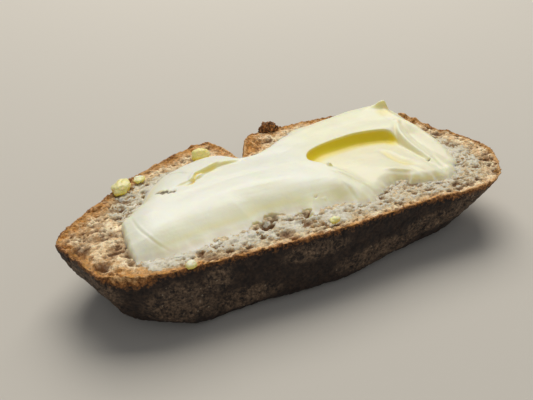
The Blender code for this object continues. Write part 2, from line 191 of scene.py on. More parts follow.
# Thin curled fin: x, y, added height
FIN = (
    (54.0, 27.8, 0.0), (59.0, 27.9, 0.8), (62.4, 27.5, 2.0), (64.6, 26.7, 3.5), (65.7, 25.8, 4.1),
    (66.3, 24.8, 2.6), (66.6, 23.4, 0.5), (66.8, 21.0, 0.0),
)
FIN_REACH = (1.7, 2.6)               # how far its slopes reach to its left and right
# Painted shade: the butter sheltered by the fin is yellower
FIN_SHADE = (63.0, 21.5, 7.5)        # yellow butter in its shelter: x, y, radius

# Creases that the knife left: (x, y) points, width and depth; butter is pushed up on their left side
Mark = namedtuple("Mark", "line width depth")
MARKS = (
    Mark(((-47, 0.4), (-45, 0), (-42.9, -0.4), (-40.5, 0.5), (-38, 4.2), (-35.7, 5.2), (-28, 9.2),
          (-22, 13)), 0.6, 0.8),
    Mark(((-68.1, -8), (-68.1, -13), (-67.3, -21), (-64.6, -27.2), (-60.0, -32.0), (-56, -34)), 0.5, 0.22),
    Mark(((13.1, -12), (18.8, -20), (22.6, -25), (27.5, -30)), 0.8, 0.4),
    Mark(((14.6, -20), (15.8, -30.4), (14.8, -36)), 0.7, 0.25),
    Mark(((43.6, 0), (45.0, -5), (46.2, -11), (48, -15.6), (51.2, -18.6), (54, -22)), 2.0, 0.66),
    Mark(((65.6, 17.5), (63.9, 13.6), (60.8, 9.2), (58.5, 5.2), (57.4, -1), (57.6, -6.3), (58.5, -12.1),
          (59.4, -18.4), (60.8, -25)), 0.8, 0.55),
    Mark(((64.8, 14), (64.2, 8.5), (65.1, 4.5), (66.8, -0.5)), 2.0, 0.45),
    Mark(((66.8, 3.5), (67.3, -1.1), (67.4, -5.7), (67.6, -11)), 1.6, 0.2),
    Mark(((65.6, -10), (63.6, -14), (62.5, -22), (64.0, -30)), 1.2, 0.3),
    Mark(((35.2, -18.3), (37.2, -19.3), (42.0, -21.3), (48.7, -24.8)), 1.0, 0.4),
    Mark(((46.4, -16), (48.4, -21), (50.0, -27), (51.3, -33)), 1.1, 0.35),
    Mark(((-62, -19), (-40, -16), (-12, -15), (6, -17)), 2.5, 0.14),
    Mark(((-58, -9), (-36, -5), (-14, -3), (2, -6)), 2.2, 0.10),
    Mark(((-8, 12.5), (12, 18.5), (30, 23.5), (52, 26)), 2.4, 0.16),
)
# Small pits: x, y, radius, depth; the deep ones open onto the crumb
PITS = (
    (-52.6, -0.6, 1.5, 0.9), (-50.2, -2.2, 1.2, 0.7), (-54.5, 0.6, 1.0, 0.5), (0.9, -24.0, 0.6, 0.4),
    (4.1, -25.4, 0.6, -0.4), (-24.0, -30.2, 2.3, 6.0), (-19.0, -26.8, 1.7, 5.0), (-15.2, -27.8, 1.2, 2.5),
    (59.9, -18.2, 0.7, 0.8), (-69.5, -6.5, 1.4, 1.3), (-6.5, -29.2, 1.7, 5.0), (-26.8, -32.2, 1.9, 2.2),
    (-19.4, -29.8, 1.7, 2.2), (-6.6, -32.6, 1.9, 2.2),
)
HOLE_DEPTH = 2.0                     # from here on a pit is deep
CURL = (15.2, -9.6, 1.9, 1.5)        # curl beside the scoop: x, y, radius, height

# ---- Smear of butter round the spread, in mm ----
SMEAR_OUTLINE = (
    (-73.5, -33), (-69, -41.3), (-55, -41.6), (-40, -42.2), (-20, -42.8), (0, -43), (20, -41.6),
    (40, -40.6), (60, -40.8), (72, -39.5), (81, -32), (86, -22), (88, -12), (86, -2), (82, 8),
    (79, 20), (72, 32), (62, 39.5), (45, 41.5), (25, 40.5), (8, 32), (-2, 22.5), (-10, 19.5), (-18, 25),
    (-28, 29), (-40, 27), (-52, 25), (-63, 20), (-71, 13), (-76, 4), (-75, -4), (-70, -12), (-72, -22),
)
# Where the knife left more butter, or less where the amount is negative: x, y, radius, amount
SMEAR_PATCHES = (
    (-67, -36.5, 8, 0.7), (-58, -37, 6, 0.5), (-40, -34.5, 7, 0.6), (-29, -34.5, 6, 0.6),
    (-14, -35, 6, 0.4), (-64, 6, 8, 0.45), (-66, 13, 7, 0.6), (-57, 17, 6, 0.4), (-70, 0, 5, 0.5),
    (-30, 26, 8, 0.4), (30, -38, 7, 0.3), (80, -12, 9, 0.6), (77, 18, 9, 0.6), (50, -36, 9, 0.3),
    (83, 2, 8, 0.5), (-20, 22, 7, 0.4), (3, 22, 6, 0.5), (-23.6, -30.6, 2.8, -1.6),
    (-18.4, -27.4, 2.2, -1.4), (-6.2, -30.8, 2.4, -1.6), (-4.4, -34.3, 1.8, -1.0), (-17.0, -33.0, 5.0, 0.5),
    (3, -36, 7, 1.1), (-1, -38.5, 3, 0.7), (-34, -36, 6, 0.5), (-23.7, -36.3, 3.2, 1.0),
    (-12.3, -34.8, 3.2, 0.9), (-38.0, 27.5, 7.0, -0.6), (81.0, -22.0, 7.0, 0.5),
)

# ---- Loose lumps of butter: radii before the turn, how uneven and how yellow they are ----
Dab = namedtuple("Dab", "node place radii height turn lumps yellow")
DABS = (
    Dab("butter_dab_left", (-65.3, 16.2), (4.8, 3.3), 4.2, 0.9, 0.30, 0.5),
    Dab("butter_dab_back", (-27.3, 29.0), (4.0, 3.1), 4.5, -0.2, 0.22, 0.6),
    Dab("butter_dab_front", (-56.5, -42.6), (2.1, 1.8), 2.2, 0.5, 0.20, 0.15),
    Dab("butter_bit_front", (0.4, -39.6), (2.1, 1.6), 1.9, 0.3, 0.30, 0.25),
    Dab("butter_bit_rear", (-56.7, 20.8), (2.7, 2.0), 1.9, 0.6, 0.30, 0.1),
)
# The other dabs are too small to be solids
SOLID_DABS = ("butter_dab_left", "butter_dab_back", "butter_dab_front")

# ---- Meshes: how many columns and rows they have, and how deep their hidden bodies are, in mm ----
CRUMB_GRID = (470, 195)
CRUMB_DEPTH = 8.0
CRUMB_TAPER = 0.88                   # size of the crumb's base against its outline
UNDERSIDE_GRID = (230, 100)
UNDERSIDE_DEPTH = 3.0
BUTTER_GRID = (430, 95, 75)          # columns, and rows before and behind the crest
BUTTER_DEPTH = 7.5
DAB_DEPTH = 1.2
SMEAR_REACH = 3.9                    # the smear leaves the crumb that is this far below the cut bare
SMEAR_DEPTH = 0.6                    # how far its body goes under the crumb's surface
THICKEST_SMEAR = 0.4
WALL_DEPTHS = np.linspace(0.006, 1.0, 60)
RIM_POINTS = 1240                    # points round each ring of the crust
RIM_STEPS = 2400                     # points of the rim that distances are measured to

# ---- Stage, in metres: where the lights aim, where the camera stands and which way it looks ----
LIGHT_AIM = (0.0, 0.0, 0.02)
CAMERA_PLACE = (-0.10401, -0.20147, 0.15274)
CAMERA_DIRECTION = (0.3630, 0.7715, -0.5225)

# Large odd numbers that mix a column, a row and a seed into a random key
MIXERS = (374761393, 668265263, 2246822519, 1274126177)


# ---- Shared tools ----

def linear(hex_colour):
    """Linear RGBA of an sRGB hex colour."""
    parts = [int(hex_colour[k:k + 2], 16) / 255.0 for k in (1, 3, 5)]
    return (*(c / 12.92 if c <= 0.04045 else ((c + 0.055) / 1.055)**2.4 for c in parts), 1.0)


def smooth_step(low, high, value):
    """0 at low, 1 at high, with level ends; high may be the smaller one."""
    t = np.clip((value - low) / (high - low), 0.0, 1.0)
    return t * t * (3.0 - 2.0 * t)


def relief(x, y, size, seed=0):
    """Smooth random relief, about -1 to 1, at the points (x, y), with features of that size."""
    x, y = np.asarray(x, float) / size, np.asarray(y, float) / size
    column, row = np.floor(x).astype(np.int64), np.floor(y).astype(np.int64)
    mix_column, mix_row, mix_seed, mix_key = MIXERS
    total = 0.0
    for i in (0, 1):
        for j in (0, 1):
            key = ((column + i) * mix_column + (row + j) * mix_row + seed * mix_seed) & 0xFFFFFFFF
            key = ((key ^ (key >> 13)) * mix_key) & 0xFFFFFFFF
            angle = (key ^ (key >> 16)) * (2.0 * math.pi / 2.0**32)
            across, down = x - column - i, y - row - j
            weight = smooth_step(1.0, 0.0, np.abs(across)) * smooth_step(1.0, 0.0, np.abs(down))
            total = total + weight * (np.cos(angle) * across + np.sin(angle) * down)
    return 1.6 * total


def spline(points, count):
    """Catmull-Rom curve through points, read at count + 1 even parameters."""
    rows = np.array(points, float)
    rows = np.vstack((2 * rows[0] - rows[1], rows, 2 * rows[-1] - rows[-2]))
    t = np.linspace(0.0, len(points) - 1, count + 1)
    span = np.minimum(t.astype(int), len(points) - 2)
    f = (t - span)[:, None]
    a, b, c, d = (rows[span + k] for k in range(4))
    return 0.5 * (2 * b + (c - a) * f + (2 * a - 5 * b + 4 * c - d) * f**2 + (3 * b - a - 3 * c + d) * f**3)


def fine_line(points):
    """The curve through points, with eight steps from each to the next."""
    return spline(points, 8 * (len(points) - 1))


def read_curve(points, parameters):
    """The curve through points at any parameters from 0 to 1."""
    fine = spline(points, 1200)
    steps = np.linspace(0.0, 1.0, len(fine))
    return np.stack([np.interp(parameters, steps, fine[:, k]) for k in range(fine.shape[1])], 1)


def crowd(count, amount):
    """count + 1 parameters from 0 to 1 that gather at both ends."""
    t = np.linspace(0.0, 1.0, count + 1)
    return (1.0 - amount) * t + amount * smooth_step(0.0, 1.0, t)


def coons_patch(sides, u, v):
    """Plan positions inside four sides (front, right, back, left), indexed [row, column]."""
    front, right, back, left = sides
    low, high = read_curve(front, u)[None], read_curve(back, u)[None]
    near, far = read_curve(left, v)[:, None], read_curve(right, v)[:, None]
    u, v = u[None, :, None], v[:, None, None]
    low_ends = (1 - u) * low[:, :1] + u * low[:, -1:]
    high_ends = (1 - u) * high[:, :1] + u * high[:, -1:]
    corners = (1 - v) * low_ends + v * high_ends
    return (1 - v) * low + v * high + (1 - u) * near + u * far - corners


def even_loop(sides, count):
    """count points spaced evenly round the loop that the sides make, and their outward directions."""
    dense = np.vstack([spline(side, 300)[:-1] for side in sides])
    closed = np.vstack((dense, dense[:1]))
    travelled = np.concatenate(([0.0], np.cumsum(np.hypot(*np.diff(closed, axis=0).T))))
    wanted = np.arange(count) * travelled[-1] / count
    loop = np.stack([np.interp(wanted, travelled, closed[:, k]) for k in (0, 1)], 1)
    heading = np.roll(loop, -2, axis=0) - np.roll(loop, 2, axis=0)
    heading /= np.hypot(*heading.T)[:, None]
    return loop, np.stack((heading[:, 1], -heading[:, 0]), 1)


def distance_to(x, y, loop):
    """Distance from the points (x, y) to the nearest point of a loop."""
    tree = kdtree.KDTree(len(loop))
    for index, (px, py) in enumerate(loop):
        tree.insert((px, py, 0.0), index)
    tree.balance()
    return np.array([tree.find((px, py, 0.0))[2] for px, py in zip(x.ravel(), y.ravel())]).reshape(x.shape)


def inside(x, y, loop):
    """True where the points (x, y) lie inside a closed loop."""
    found = np.zeros(x.shape, bool)
    for (ax, ay), (bx, by) in zip(loop, np.roll(loop, -1, axis=0)):
        if ay != by:
            crosses = (ay > y) != (by > y)
            found ^= crosses & (x < (bx - ax) * (y - ay) / (by - ay) + ax)
    return found


def nearest(x, y, curve):
    """Distance from the points (x, y) to a curve, its side, how far along, and its other columns there.

    The side is positive to the left of the curve's direction.
    """
    best = np.full(x.shape, 1e9)
    side, travelled = np.zeros(x.shape), np.zeros(x.shape)
    others = np.zeros((*x.shape, curve.shape[1] - 2))
    start = 0.0
    for a, b in zip(curve[:-1], curve[1:]):
        step = b - a
        length = math.hypot(step[0], step[1])
        if length > 1e-6:
            along = np.clip(((x - a[0]) * step[0] + (y - a[1]) * step[1]) / length**2, 0.0, 1.0)
            gap_x, gap_y = x - a[0] - along * step[0], y - a[1] - along * step[1]
            square = gap_x**2 + gap_y**2
            closer = square < best
            best = np.where(closer, square, best)
            side = np.where(closer, step[0] * gap_y - step[1] * gap_x, side)
            travelled = np.where(closer, start + along * length, travelled)
            others = np.where(closer[..., None], a[2:] + along[..., None] * step[2:], others)
            start += length
    return np.sqrt(best), side, travelled, others


def metres(points):
    """Drawing positions in mm as frame positions in metres."""
    moved = np.array(points, float)
    moved[..., 0] += CENTRE[0]
    moved[..., 1] += CENTRE[1]
    return moved * MM


def keep_values(mesh, name, values, rest=0.0):
    """Stores one number for each vertex, for a material or a node tree to read; the last ones get rest."""
    values = np.asarray(values, np.float32).ravel()
    values = np.append(values, np.full(len(mesh.vertices) - len(values), rest, np.float32))
    layer = mesh.attributes.get(name) or mesh.attributes.new(name, "FLOAT", "POINT")
    layer.data.foreach_set("value", values)


def read_field(items, field, width=1, kind=np.float32):
    """One field of all items as an array, with a row for each item where it is wider than one number."""
    values = np.empty(len(items) * width, kind)
    items.foreach_get(field, values)
    return values.reshape(-1, width) if width > 1 else values


def positions(piece):
    """Positions of a piece's vertices, in metres."""
    return read_field(piece.data.vertices, "co", 3).astype(float)


def move_to(piece, places):
    """Moves a piece's vertices to places, in metres."""
    piece.data.vertices.foreach_set("co", places.astype(np.float32).ravel())
    piece.data.update()


def link_piece(name, data):
    """Puts a mesh into the scene as a piece."""
    piece = bpy.data.objects.new(name, data)
    bpy.context.scene.collection.objects.link(piece)
    return piece


def new_piece(name, points, faces, material):
    """A closed body from points in mm; its faces are turned outwards."""
    data = bpy.data.meshes.new(name)
    data.from_pydata(metres(points).tolist(), [], faces)
    mesh = bmesh.new()
    mesh.from_mesh(data)
    bmesh.ops.recalc_face_normals(mesh, faces=mesh.faces)
    mesh.to_mesh(data)
    mesh.free()
    data.shade_smooth()
    data.materials.append(material)
    return link_piece(name, data)


def sheet_body(name, plan, height, base, material, shrink=1.0):
    """A body under a grid of [row, column] places, with a flat base whose outline is scaled by shrink."""
    rows, columns = height.shape
    index = np.arange(rows * columns).reshape(rows, columns)
    quads = np.stack((index[:-1, :-1], index[:-1, 1:], index[1:, 1:], index[1:, :-1]), -1).reshape(-1, 4)
    border = np.concatenate((index[0, :-1], index[:-1, -1], index[-1, :0:-1], index[:0:-1, 0]))
    top = np.dstack((plan, height)).reshape(-1, 3)
    foot = top[border] * (shrink, shrink, 0.0) + (0.0, 0.0, base)
    below = np.arange(len(border)) + rows * columns
    skirt = np.stack((border, below, np.roll(below, -1), np.roll(border, -1)), 1)
    faces = quads.tolist() + skirt.tolist() + [below[::-1].tolist()]
    return new_piece(name, np.vstack((top, foot)), faces, material)


def ball_body(name, subdivisions, shapes, material):
    """A body of balls, and its points in mm; each shape maps a unit ball's points to one ball's places."""
    mesh = bmesh.new()
    for shape in shapes:
        for vert in bmesh.ops.create_icosphere(mesh, subdivisions=subdivisions, radius=1.0)["verts"]:
            vert.co = shape(vert.co)
    mesh.verts.index_update()
    points = np.array([vert.co for vert in mesh.verts])
    faces = [[vert.index for vert in face.verts] for face in mesh.faces]
    mesh.free()
    return new_piece(name, points, faces, material), points


def band_body(name, rings, material):
    """A body through rings of [ring, place] points, closed with a flat face at its first and last ring."""
    count, around, _ = rings.shape
    index = np.arange(count * around).reshape(count, around)
    after = np.roll(index, -1, axis=1)
    quads = np.stack((index[:-1], after[:-1], after[1:], index[1:]), -1).reshape(-1, 4)
    faces = quads.tolist() + [index[0, ::-1].tolist(), index[-1].tolist()]
    return new_piece(name, rings.reshape(-1, 3), faces, material)


def connect(tree, node, inputs):
    """Gives a node's inputs, by name or number, a value, a socket or another node's first open output."""
    for name, value in inputs.items():
        if isinstance(value, bpy.types.Node):
            value = next(socket for socket in value.outputs if socket.enabled)
        if isinstance(value, bpy.types.NodeSocket):
            tree.links.new(value, node.inputs[name])
        else:
            node.inputs[name].default_value = value


def add_node(tree, kind, inputs=None, **settings):
    """Adds a node with its settings and inputs."""
    node = tree.nodes.new(kind)
    for name, value in settings.items():
        setattr(node, name, value)
    connect(tree, node, inputs or {})
    return node


def repeats(size):
    """Scale of a pattern whose features are about that many mm wide, in whole repeats to the metre."""
    return float(round(1.0 / (size * MM)))


def new_tree(name, sockets):
    """A geometry tree with these inputs (name, kind, default): it, its node adder and its inputs' sockets."""
    tree = bpy.data.node_groups.new(name, "GeometryNodeTree")
    tree.interface.new_socket("Geometry", in_out="INPUT", socket_type="NodeSocketGeometry")
    for label, kind, default in sockets:
        socket = tree.interface.new_socket(label, in_out="INPUT", socket_type="NodeSocket" + kind)
        if default is not None:
            socket.default_value = default
    tree.interface.new_socket("Geometry", in_out="OUTPUT", socket_type="NodeSocketGeometry")
    add = partial(add_node, tree)
    return tree, add, add("NodeGroupInput").outputs


def end_tree(add, geometry, material):
    """Realizes what the tree made, gives it its material and sends it out."""
    whole = add("GeometryNodeRealizeInstances", {"Geometry": geometry})
    painted = add("GeometryNodeSetMaterial", {"Geometry": whole, "Material": material})
    add("NodeGroupOutput", {0: painted})


def grow(piece, tree, values):
    """Runs a geometry tree on a piece and keeps the result as the piece's plain mesh."""
    modifier = piece.modifiers.new(tree.name, "NODES")
    modifier.node_group = tree
    for item in tree.interface.items_tree:
        if item.in_out == "INPUT" and item.name in values:
            modifier[item.identifier] = values[item.name]
    depsgraph = bpy.context.evaluated_depsgraph_get()
    grown = bpy.data.meshes.new_from_object(
        piece.evaluated_get(depsgraph), preserve_all_data_layers=True, depsgraph=depsgraph
    )
    piece.modifiers.remove(modifier)
    old, piece.data = piece.data, grown
    bpy.data.meshes.remove(old)
    grown.name = piece.name
    if not len(grown.vertices):
        raise RuntimeError(f"the tree {tree.name} made nothing for {piece.name}")


def new_material(name):
    """A material with only its shader: it, its node adder and the coordinates of the piece."""
    material = bpy.data.materials.new(name)
    material.use_nodes = True
    add = partial(add_node, material.node_tree)
    return material, add, add("ShaderNodeTexCoord").outputs["Object"]


def shade(material, inputs):
    """Gives a material's shader its inputs."""
    tree = material.node_tree
    connect(tree, tree.nodes["Principled BSDF"], inputs)
    return material


# ---- Geometry trees ----

def pore_tree():
    """Open crumb: bubbles of three sizes that the knife cut through, sunk into a surface from above."""
    # Each size: its name, the bubbles' spacing, their depth, and the widest radius as a share of the spacing
    sizes = (
        ("Fine", 0.0012, 0.00045, 0.58), ("Medium", 0.0021, 0.0011, 0.60), ("Large", 0.0058, 0.0020, 0.40),
    )
    least_radius = 0.05
    oblong = (0.62, 1.0, 0.0)                        # bubbles are longer along x, and the same at any height
    sockets = [("Wander", "Float", 0.0032), ("Drift Size", "Float", 0.0020), ("Layer", "Float", 0.0),
               ("Roughness", "Float", 0.0012)]
    for label, size, depth, _ in sizes:
        sockets += [(f"{label} Pore", "Float", size), (f"{label} Depth", "Float", depth)]
    tree, add, value = new_tree("crumb_pores", sockets + [("Material", "Material", None)])
    place = add("GeometryNodeInputPosition")
    layer = add("ShaderNodeCombineXYZ", {2: value["Layer"]})
    place = add("ShaderNodeVectorMath", {0: place, 1: oblong, 2: layer}, operation="MULTIPLY_ADD")
    drift = add("ShaderNodeMath", {0: 1.0, 1: value["Drift Size"]}, operation="DIVIDE")
    drift = add("ShaderNodeTexNoise", {"Vector": place, "Scale": drift, "Detail": 2.5})
    drift = add("ShaderNodeVectorMath", {0: drift.outputs["Color"], 1: (0.5, 0.5, 0.5)}, operation="SUBTRACT")
    place = add("ShaderNodeVectorMath", {0: drift, 1: value["Wander"], 2: place}, operation="MULTIPLY_ADD")
    total = 0.0
    for label, _, _, share in reversed(sizes):
        scale = add("ShaderNodeMath", {0: 1.0, 1: value[f"{label} Pore"]}, operation="DIVIDE")
        cell = add("ShaderNodeTexVoronoi", {"Vector": place, "Scale": scale})
        square = add("ShaderNodeMath", {0: cell.outputs["Distance"], 1: 2.0}, operation="POWER")
        lot = add("FunctionNodeSeparateColor", {0: cell.outputs["Color"]})
        own = add("ShaderNodeMath", {0: lot, 1: share, 2: least_radius}, operation="MULTIPLY_ADD")
        own = add("ShaderNodeMath", {0: own, 1: own}, operation="MULTIPLY")
        bowl = add("ShaderNodeMath", {0: own, 1: square}, operation="SUBTRACT")
        bowl = add("ShaderNodeMath", {0: bowl, 1: 0.0}, operation="MAXIMUM")
        bowl = add("ShaderNodeMath", {0: bowl}, operation="SQRT")
        depth = add("ShaderNodeMath", {0: value[f"{label} Depth"], 1: share}, operation="DIVIDE")
        depth = add("ShaderNodeMath", {0: bowl, 1: depth}, operation="MULTIPLY")
        join = "ADD" if label == "Fine" else "MAXIMUM"
        total = add("ShaderNodeMath", {0: total, 1: depth}, operation=join)
    rough = add("ShaderNodeTexNoise", {
        "Vector": place, "Scale": repeats(1.25), "Detail": 4.0, "Roughness": 0.75,
    })
    rough = add("ShaderNodeMath", {0: rough, 1: 0.42}, operation="SUBTRACT")
    total = add("ShaderNodeMath", {0: rough, 1: value["Roughness"], 2: total}, operation="MULTIPLY_ADD")
    opened = add("GeometryNodeInputNamedAttribute", {"Name": "opened"}, data_type="FLOAT")
    total = add("ShaderNodeMath", {0: total, 1: opened}, operation="MULTIPLY")
    down = add("ShaderNodeVectorMath", {0: (0.0, 0.0, -1.0), "Scale": total}, operation="SCALE")
    sunk = add("GeometryNodeSetPosition", {"Geometry": value["Geometry"], "Offset": down})
    total = add("ShaderNodeMath", {0: total, 1: 1.0 / MM}, operation="MULTIPLY")
    noted = add("GeometryNodeStoreNamedAttribute", {"Geometry": sunk, "Name": "pore", "Value": total})
    end_tree(add, noted, value["Material"])
    return tree


def crust_tree():
    """Baked crust: blisters, a fine grit and short cracks, raised along a surface's normals."""
    tree, add, value = new_tree("crust_relief", [
        ("Blister Size", "Float", 0.0042), ("Blister Height", "Float", 0.0006),
        ("Grit Size", "Float", 0.0011), ("Grit Height", "Float", 0.00028),
        ("Crack Spacing", "Float", 0.008), ("Crack Width", "Float", 0.05),
        ("Crack Depth", "Float", 0.00045), ("Material", "Material", None),
    ])
    bend = (0.006, 0.006, 0.006)                     # how far the cracks stray from straight, in metres
    place = add("GeometryNodeInputPosition")
    total = 0.0
    for label, detail in (("Blister", 2.0), ("Grit", 3.0)):
        scale = add("ShaderNodeMath", {0: 1.0, 1: value[f"{label} Size"]}, operation="DIVIDE")
        bumps = add("ShaderNodeTexNoise", {"Vector": place, "Scale": scale, "Detail": detail})
        bumps = add("ShaderNodeMath", {0: bumps, 1: 0.5}, operation="SUBTRACT")
        height = value[f"{label} Height"]
        total = add("ShaderNodeMath", {0: bumps, 1: height, 2: total}, operation="MULTIPLY_ADD")
    drift = add("ShaderNodeTexNoise", {"Vector": place, "Scale": repeats(3.85), "Detail": 3.0})
    drift = drift.outputs["Color"]
    place = add("ShaderNodeVectorMath", {0: drift, 1: bend, 2: place}, operation="MULTIPLY_ADD")
    scale = add("ShaderNodeMath", {0: 1.0, 1: value["Crack Spacing"]}, operation="DIVIDE")
    edge = add("ShaderNodeTexVoronoi", {"Vector": place, "Scale": scale}, feature="DISTANCE_TO_EDGE")
    edge = edge.outputs["Distance"]
    crack = add("ShaderNodeMapRange", {"Value": edge, "From Min": value["Crack Width"], "From Max": 0.0})
    crack = add("ShaderNodeMath", {0: crack, 1: value["Crack Depth"]}, operation="MULTIPLY")
    total = add("ShaderNodeMath", {0: total, 1: crack}, operation="SUBTRACT")
    exposed = add("GeometryNodeInputNamedAttribute", {"Name": "exposed"}, data_type="FLOAT")
    total = add("ShaderNodeMath", {0: total, 1: exposed}, operation="MULTIPLY")
    normal = add("GeometryNodeInputNormal")
    raised = add("ShaderNodeVectorMath", {0: normal, "Scale": total}, operation="SCALE")
    shaped = add("GeometryNodeSetPosition", {"Geometry": value["Geometry"], "Offset": raised})
    end_tree(add, shaped, value["Material"])
    return tree


def grain_tree():
    """Small uneven grains scattered over a surface where its value "room" is high."""
    tree, add, value = new_tree("scattered_grains", [
        ("Density", "Float", 40000.0), ("Radius", "Float", 0.0004), ("Least Scale", "Float", 0.4),
        ("Flatness", "Float", 0.7), ("Unevenness", "Float", 0.0004), ("Seed", "Int", 1),
        ("Material", "Material", None),
    ])
    seed = value["Seed"]
    room = add("GeometryNodeInputNamedAttribute", {"Name": "room"}, data_type="FLOAT")
    density = add("ShaderNodeMath", {0: room, 1: value["Density"]}, operation="MULTIPLY")
    points = add("GeometryNodeDistributePointsOnFaces", {
        "Mesh": value["Geometry"], "Density": density, "Seed": seed,
    })
    grain = add("GeometryNodeMeshIcoSphere", {"Radius": value["Radius"], "Subdivisions": 2})
    size = add("FunctionNodeRandomValue", {2: value["Least Scale"], 3: 1.0, "Seed": seed})
    size = add("ShaderNodeMath", {0: size, 1: 2.0}, operation="POWER")
    flat = add("ShaderNodeMath", {0: size, 1: value["Flatness"]}, operation="MULTIPLY")
    scale = add("ShaderNodeCombineXYZ", {0: size, 1: size, 2: flat})
    placed = add("GeometryNodeInstanceOnPoints", {
        "Points": points, "Instance": grain, "Rotation": points.outputs["Rotation"], "Scale": scale,
    })
    whole = add("GeometryNodeRealizeInstances", {"Geometry": placed})
    place = add("GeometryNodeInputPosition")
    lumps = add("ShaderNodeTexNoise", {"Vector": place, "Scale": repeats(0.6667), "Detail": 1.0})
    lumps = add("ShaderNodeVectorMath", {0: lumps.outputs["Color"], 1: (0.5, 0.5, 0.5)}, operation="SUBTRACT")
    lumps = add("ShaderNodeVectorMath", {0: lumps, "Scale": value["Unevenness"]}, operation="SCALE")
    shaped = add("GeometryNodeSetPosition", {"Geometry": whole, "Offset": lumps})
    end_tree(add, shaped, value["Material"])
    return tree


# ---- Materials ----

def crumb_material(look):
    """Crumb of a rye and wheat loaf: moist, matt and full of holes, browner towards the crust, with painted
    shade darkening its pores and hollows.
    """
    material, add, place = new_material("rye_crumb")
    cloud = add("ShaderNodeTexNoise", {
        "Vector": place, "Scale": repeats(4.55), "Detail": 5.0, "Roughness": 0.7,
    })
    fleck = add("ShaderNodeTexNoise", {
        "Vector": place, "Scale": repeats(1.25), "Detail": 4.0, "Roughness": 0.7,
    })
    patch = add("ShaderNodeMapRange", {"Value": cloud, "From Min": 0.38, "From Max": 0.64})
    colour = add("ShaderNodeMix", {0: patch, 6: look.crumb, 7: look.crumb_dark}, data_type="RGBA")
    greased = add("ShaderNodeAttribute", attribute_name="greased").outputs["Fac"]
    soaked = add("ShaderNodeMath", {0: greased, 1: 0.75}, operation="MULTIPLY")
    colour = add("ShaderNodeMix", {0: soaked, 6: colour, 7: look.greased}, data_type="RGBA")
    # Painted shade: pores and hollows darken with their depth in mm
    pore = add("ShaderNodeAttribute", attribute_name="pore").outputs["Fac"]
    hollow = add("ShaderNodeAttribute", attribute_name="hollow").outputs["Fac"]
    deep = add("ShaderNodeMath", {0: hollow, 1: 0.4, 2: pore}, operation="MULTIPLY_ADD")
    deep = add("ShaderNodeMapRange", {"Value": deep, "From Min": 0.16, "From Max": 1.0, "To Max": 0.9})
    colour = add("ShaderNodeMix", {0: deep, 6: colour, 7: look.pore}, data_type="RGBA")
    # Baked golden along a ragged line beside the crust
    from_rim = add("ShaderNodeAttribute", attribute_name="from_rim").outputs["Fac"]
    ragged = add("ShaderNodeMath", {0: cloud, 1: -7.0, 2: from_rim}, operation="MULTIPLY_ADD")
    baked = add("ShaderNodeMapRange", {"Value": ragged, "From Min": 0.8, "From Max": -3.2})
    colour = add("ShaderNodeMix", {0: baked, 6: colour, 7: look.golden}, data_type="RGBA")
    light = add("ShaderNodeMapRange", {
        "Value": fleck, "From Min": 0.34, "From Max": 0.66, "To Min": 0.70, "To Max": 1.50,
    })
    colour = add("ShaderNodeVectorMath", {0: colour, "Scale": light}, operation="SCALE")
    grain = add("ShaderNodeBump", {"Height": fleck, "Strength": 1.0, "Distance": 0.0009})
    return shade(material, {
        "Base Color": colour, "Normal": grain, "Roughness": 0.82, "Subsurface Weight": 0.15,
        "Subsurface Radius": (1.0, 0.6, 0.35), "Subsurface Scale": 0.0012,
    })


def crust_material(look):
    """Hearth-baked crust: dark brown and matt, dusted with flour, with a torn golden line at the cut."""
    material, add, place = new_material("floury_baked_crust")
    cloud = add("ShaderNodeTexNoise", {
        "Vector": place, "Scale": repeats(3.33), "Detail": 4.0, "Roughness": 0.65,
    })
    fleck = add("ShaderNodeTexNoise", {
        "Vector": place, "Scale": repeats(1.111), "Detail": 4.0, "Roughness": 0.7,
    })
    patch = add("ShaderNodeMapRange", {"Value": cloud, "From Min": 0.35, "From Max": 0.65})
    colour = add("ShaderNodeMix", {0: patch, 6: look.crust, 7: look.crust_light}, data_type="RGBA")
    # Flour grains are far finer than the flecks, which are as coarse as they need to be to show
    flour = add("ShaderNodeAttribute", attribute_name="flour").outputs["Fac"]
    dust = add("ShaderNodeMath", {0: fleck, 1: 0.9, 2: -0.26}, operation="MULTIPLY_ADD")
    dust = add("ShaderNodeMath", {0: cloud, 1: 0.9, 2: dust}, operation="MULTIPLY_ADD")
    dust = add("ShaderNodeMapRange", {"Value": dust, "From Min": 0.48, "From Max": 0.86})
    share = add("ShaderNodeMath", {0: flour, 1: 0.75, 2: 0.08}, operation="MULTIPLY_ADD")
    dust = add("ShaderNodeMath", {0: dust, 1: share}, operation="MULTIPLY")
    colour = add("ShaderNodeMix", {0: dust, 6: colour, 7: look.flour}, data_type="RGBA")
    # Torn golden under a ragged line, and like the crumb at the very edge
    below = add("ShaderNodeAttribute", attribute_name="below_cut").outputs["Fac"]
    ragged = add("ShaderNodeMath", {0: cloud, 1: -3.2, 2: below}, operation="MULTIPLY_ADD")
    ragged = add("ShaderNodeMath", {0: fleck, 1: -8.0, 2: ragged}, operation="MULTIPLY_ADD")
    torn = add("ShaderNodeMapRange", {"Value": ragged, "From Min": -3.9, "From Max": -6.7})
    inner = add("ShaderNodeMapRange", {"Value": ragged, "From Min": -6.4, "From Max": -9.0})
    gold = add("ShaderNodeMix", {0: inner, 6: look.torn, 7: look.crumb_dark}, data_type="RGBA")
    colour = add("ShaderNodeMix", {0: torn, 6: colour, 7: gold}, data_type="RGBA")
    light = add("ShaderNodeMapRange", {
        "Value": fleck, "From Min": 0.34, "From Max": 0.66, "To Min": 0.5, "To Max": 1.45,
    })
    colour = add("ShaderNodeVectorMath", {0: colour, "Scale": light}, operation="SCALE")
    grain = add("ShaderNodeBump", {"Height": fleck, "Strength": 0.6, "Distance": 0.0004})
    return shade(material, {"Base Color": colour, "Normal": grain, "Roughness": 0.8})


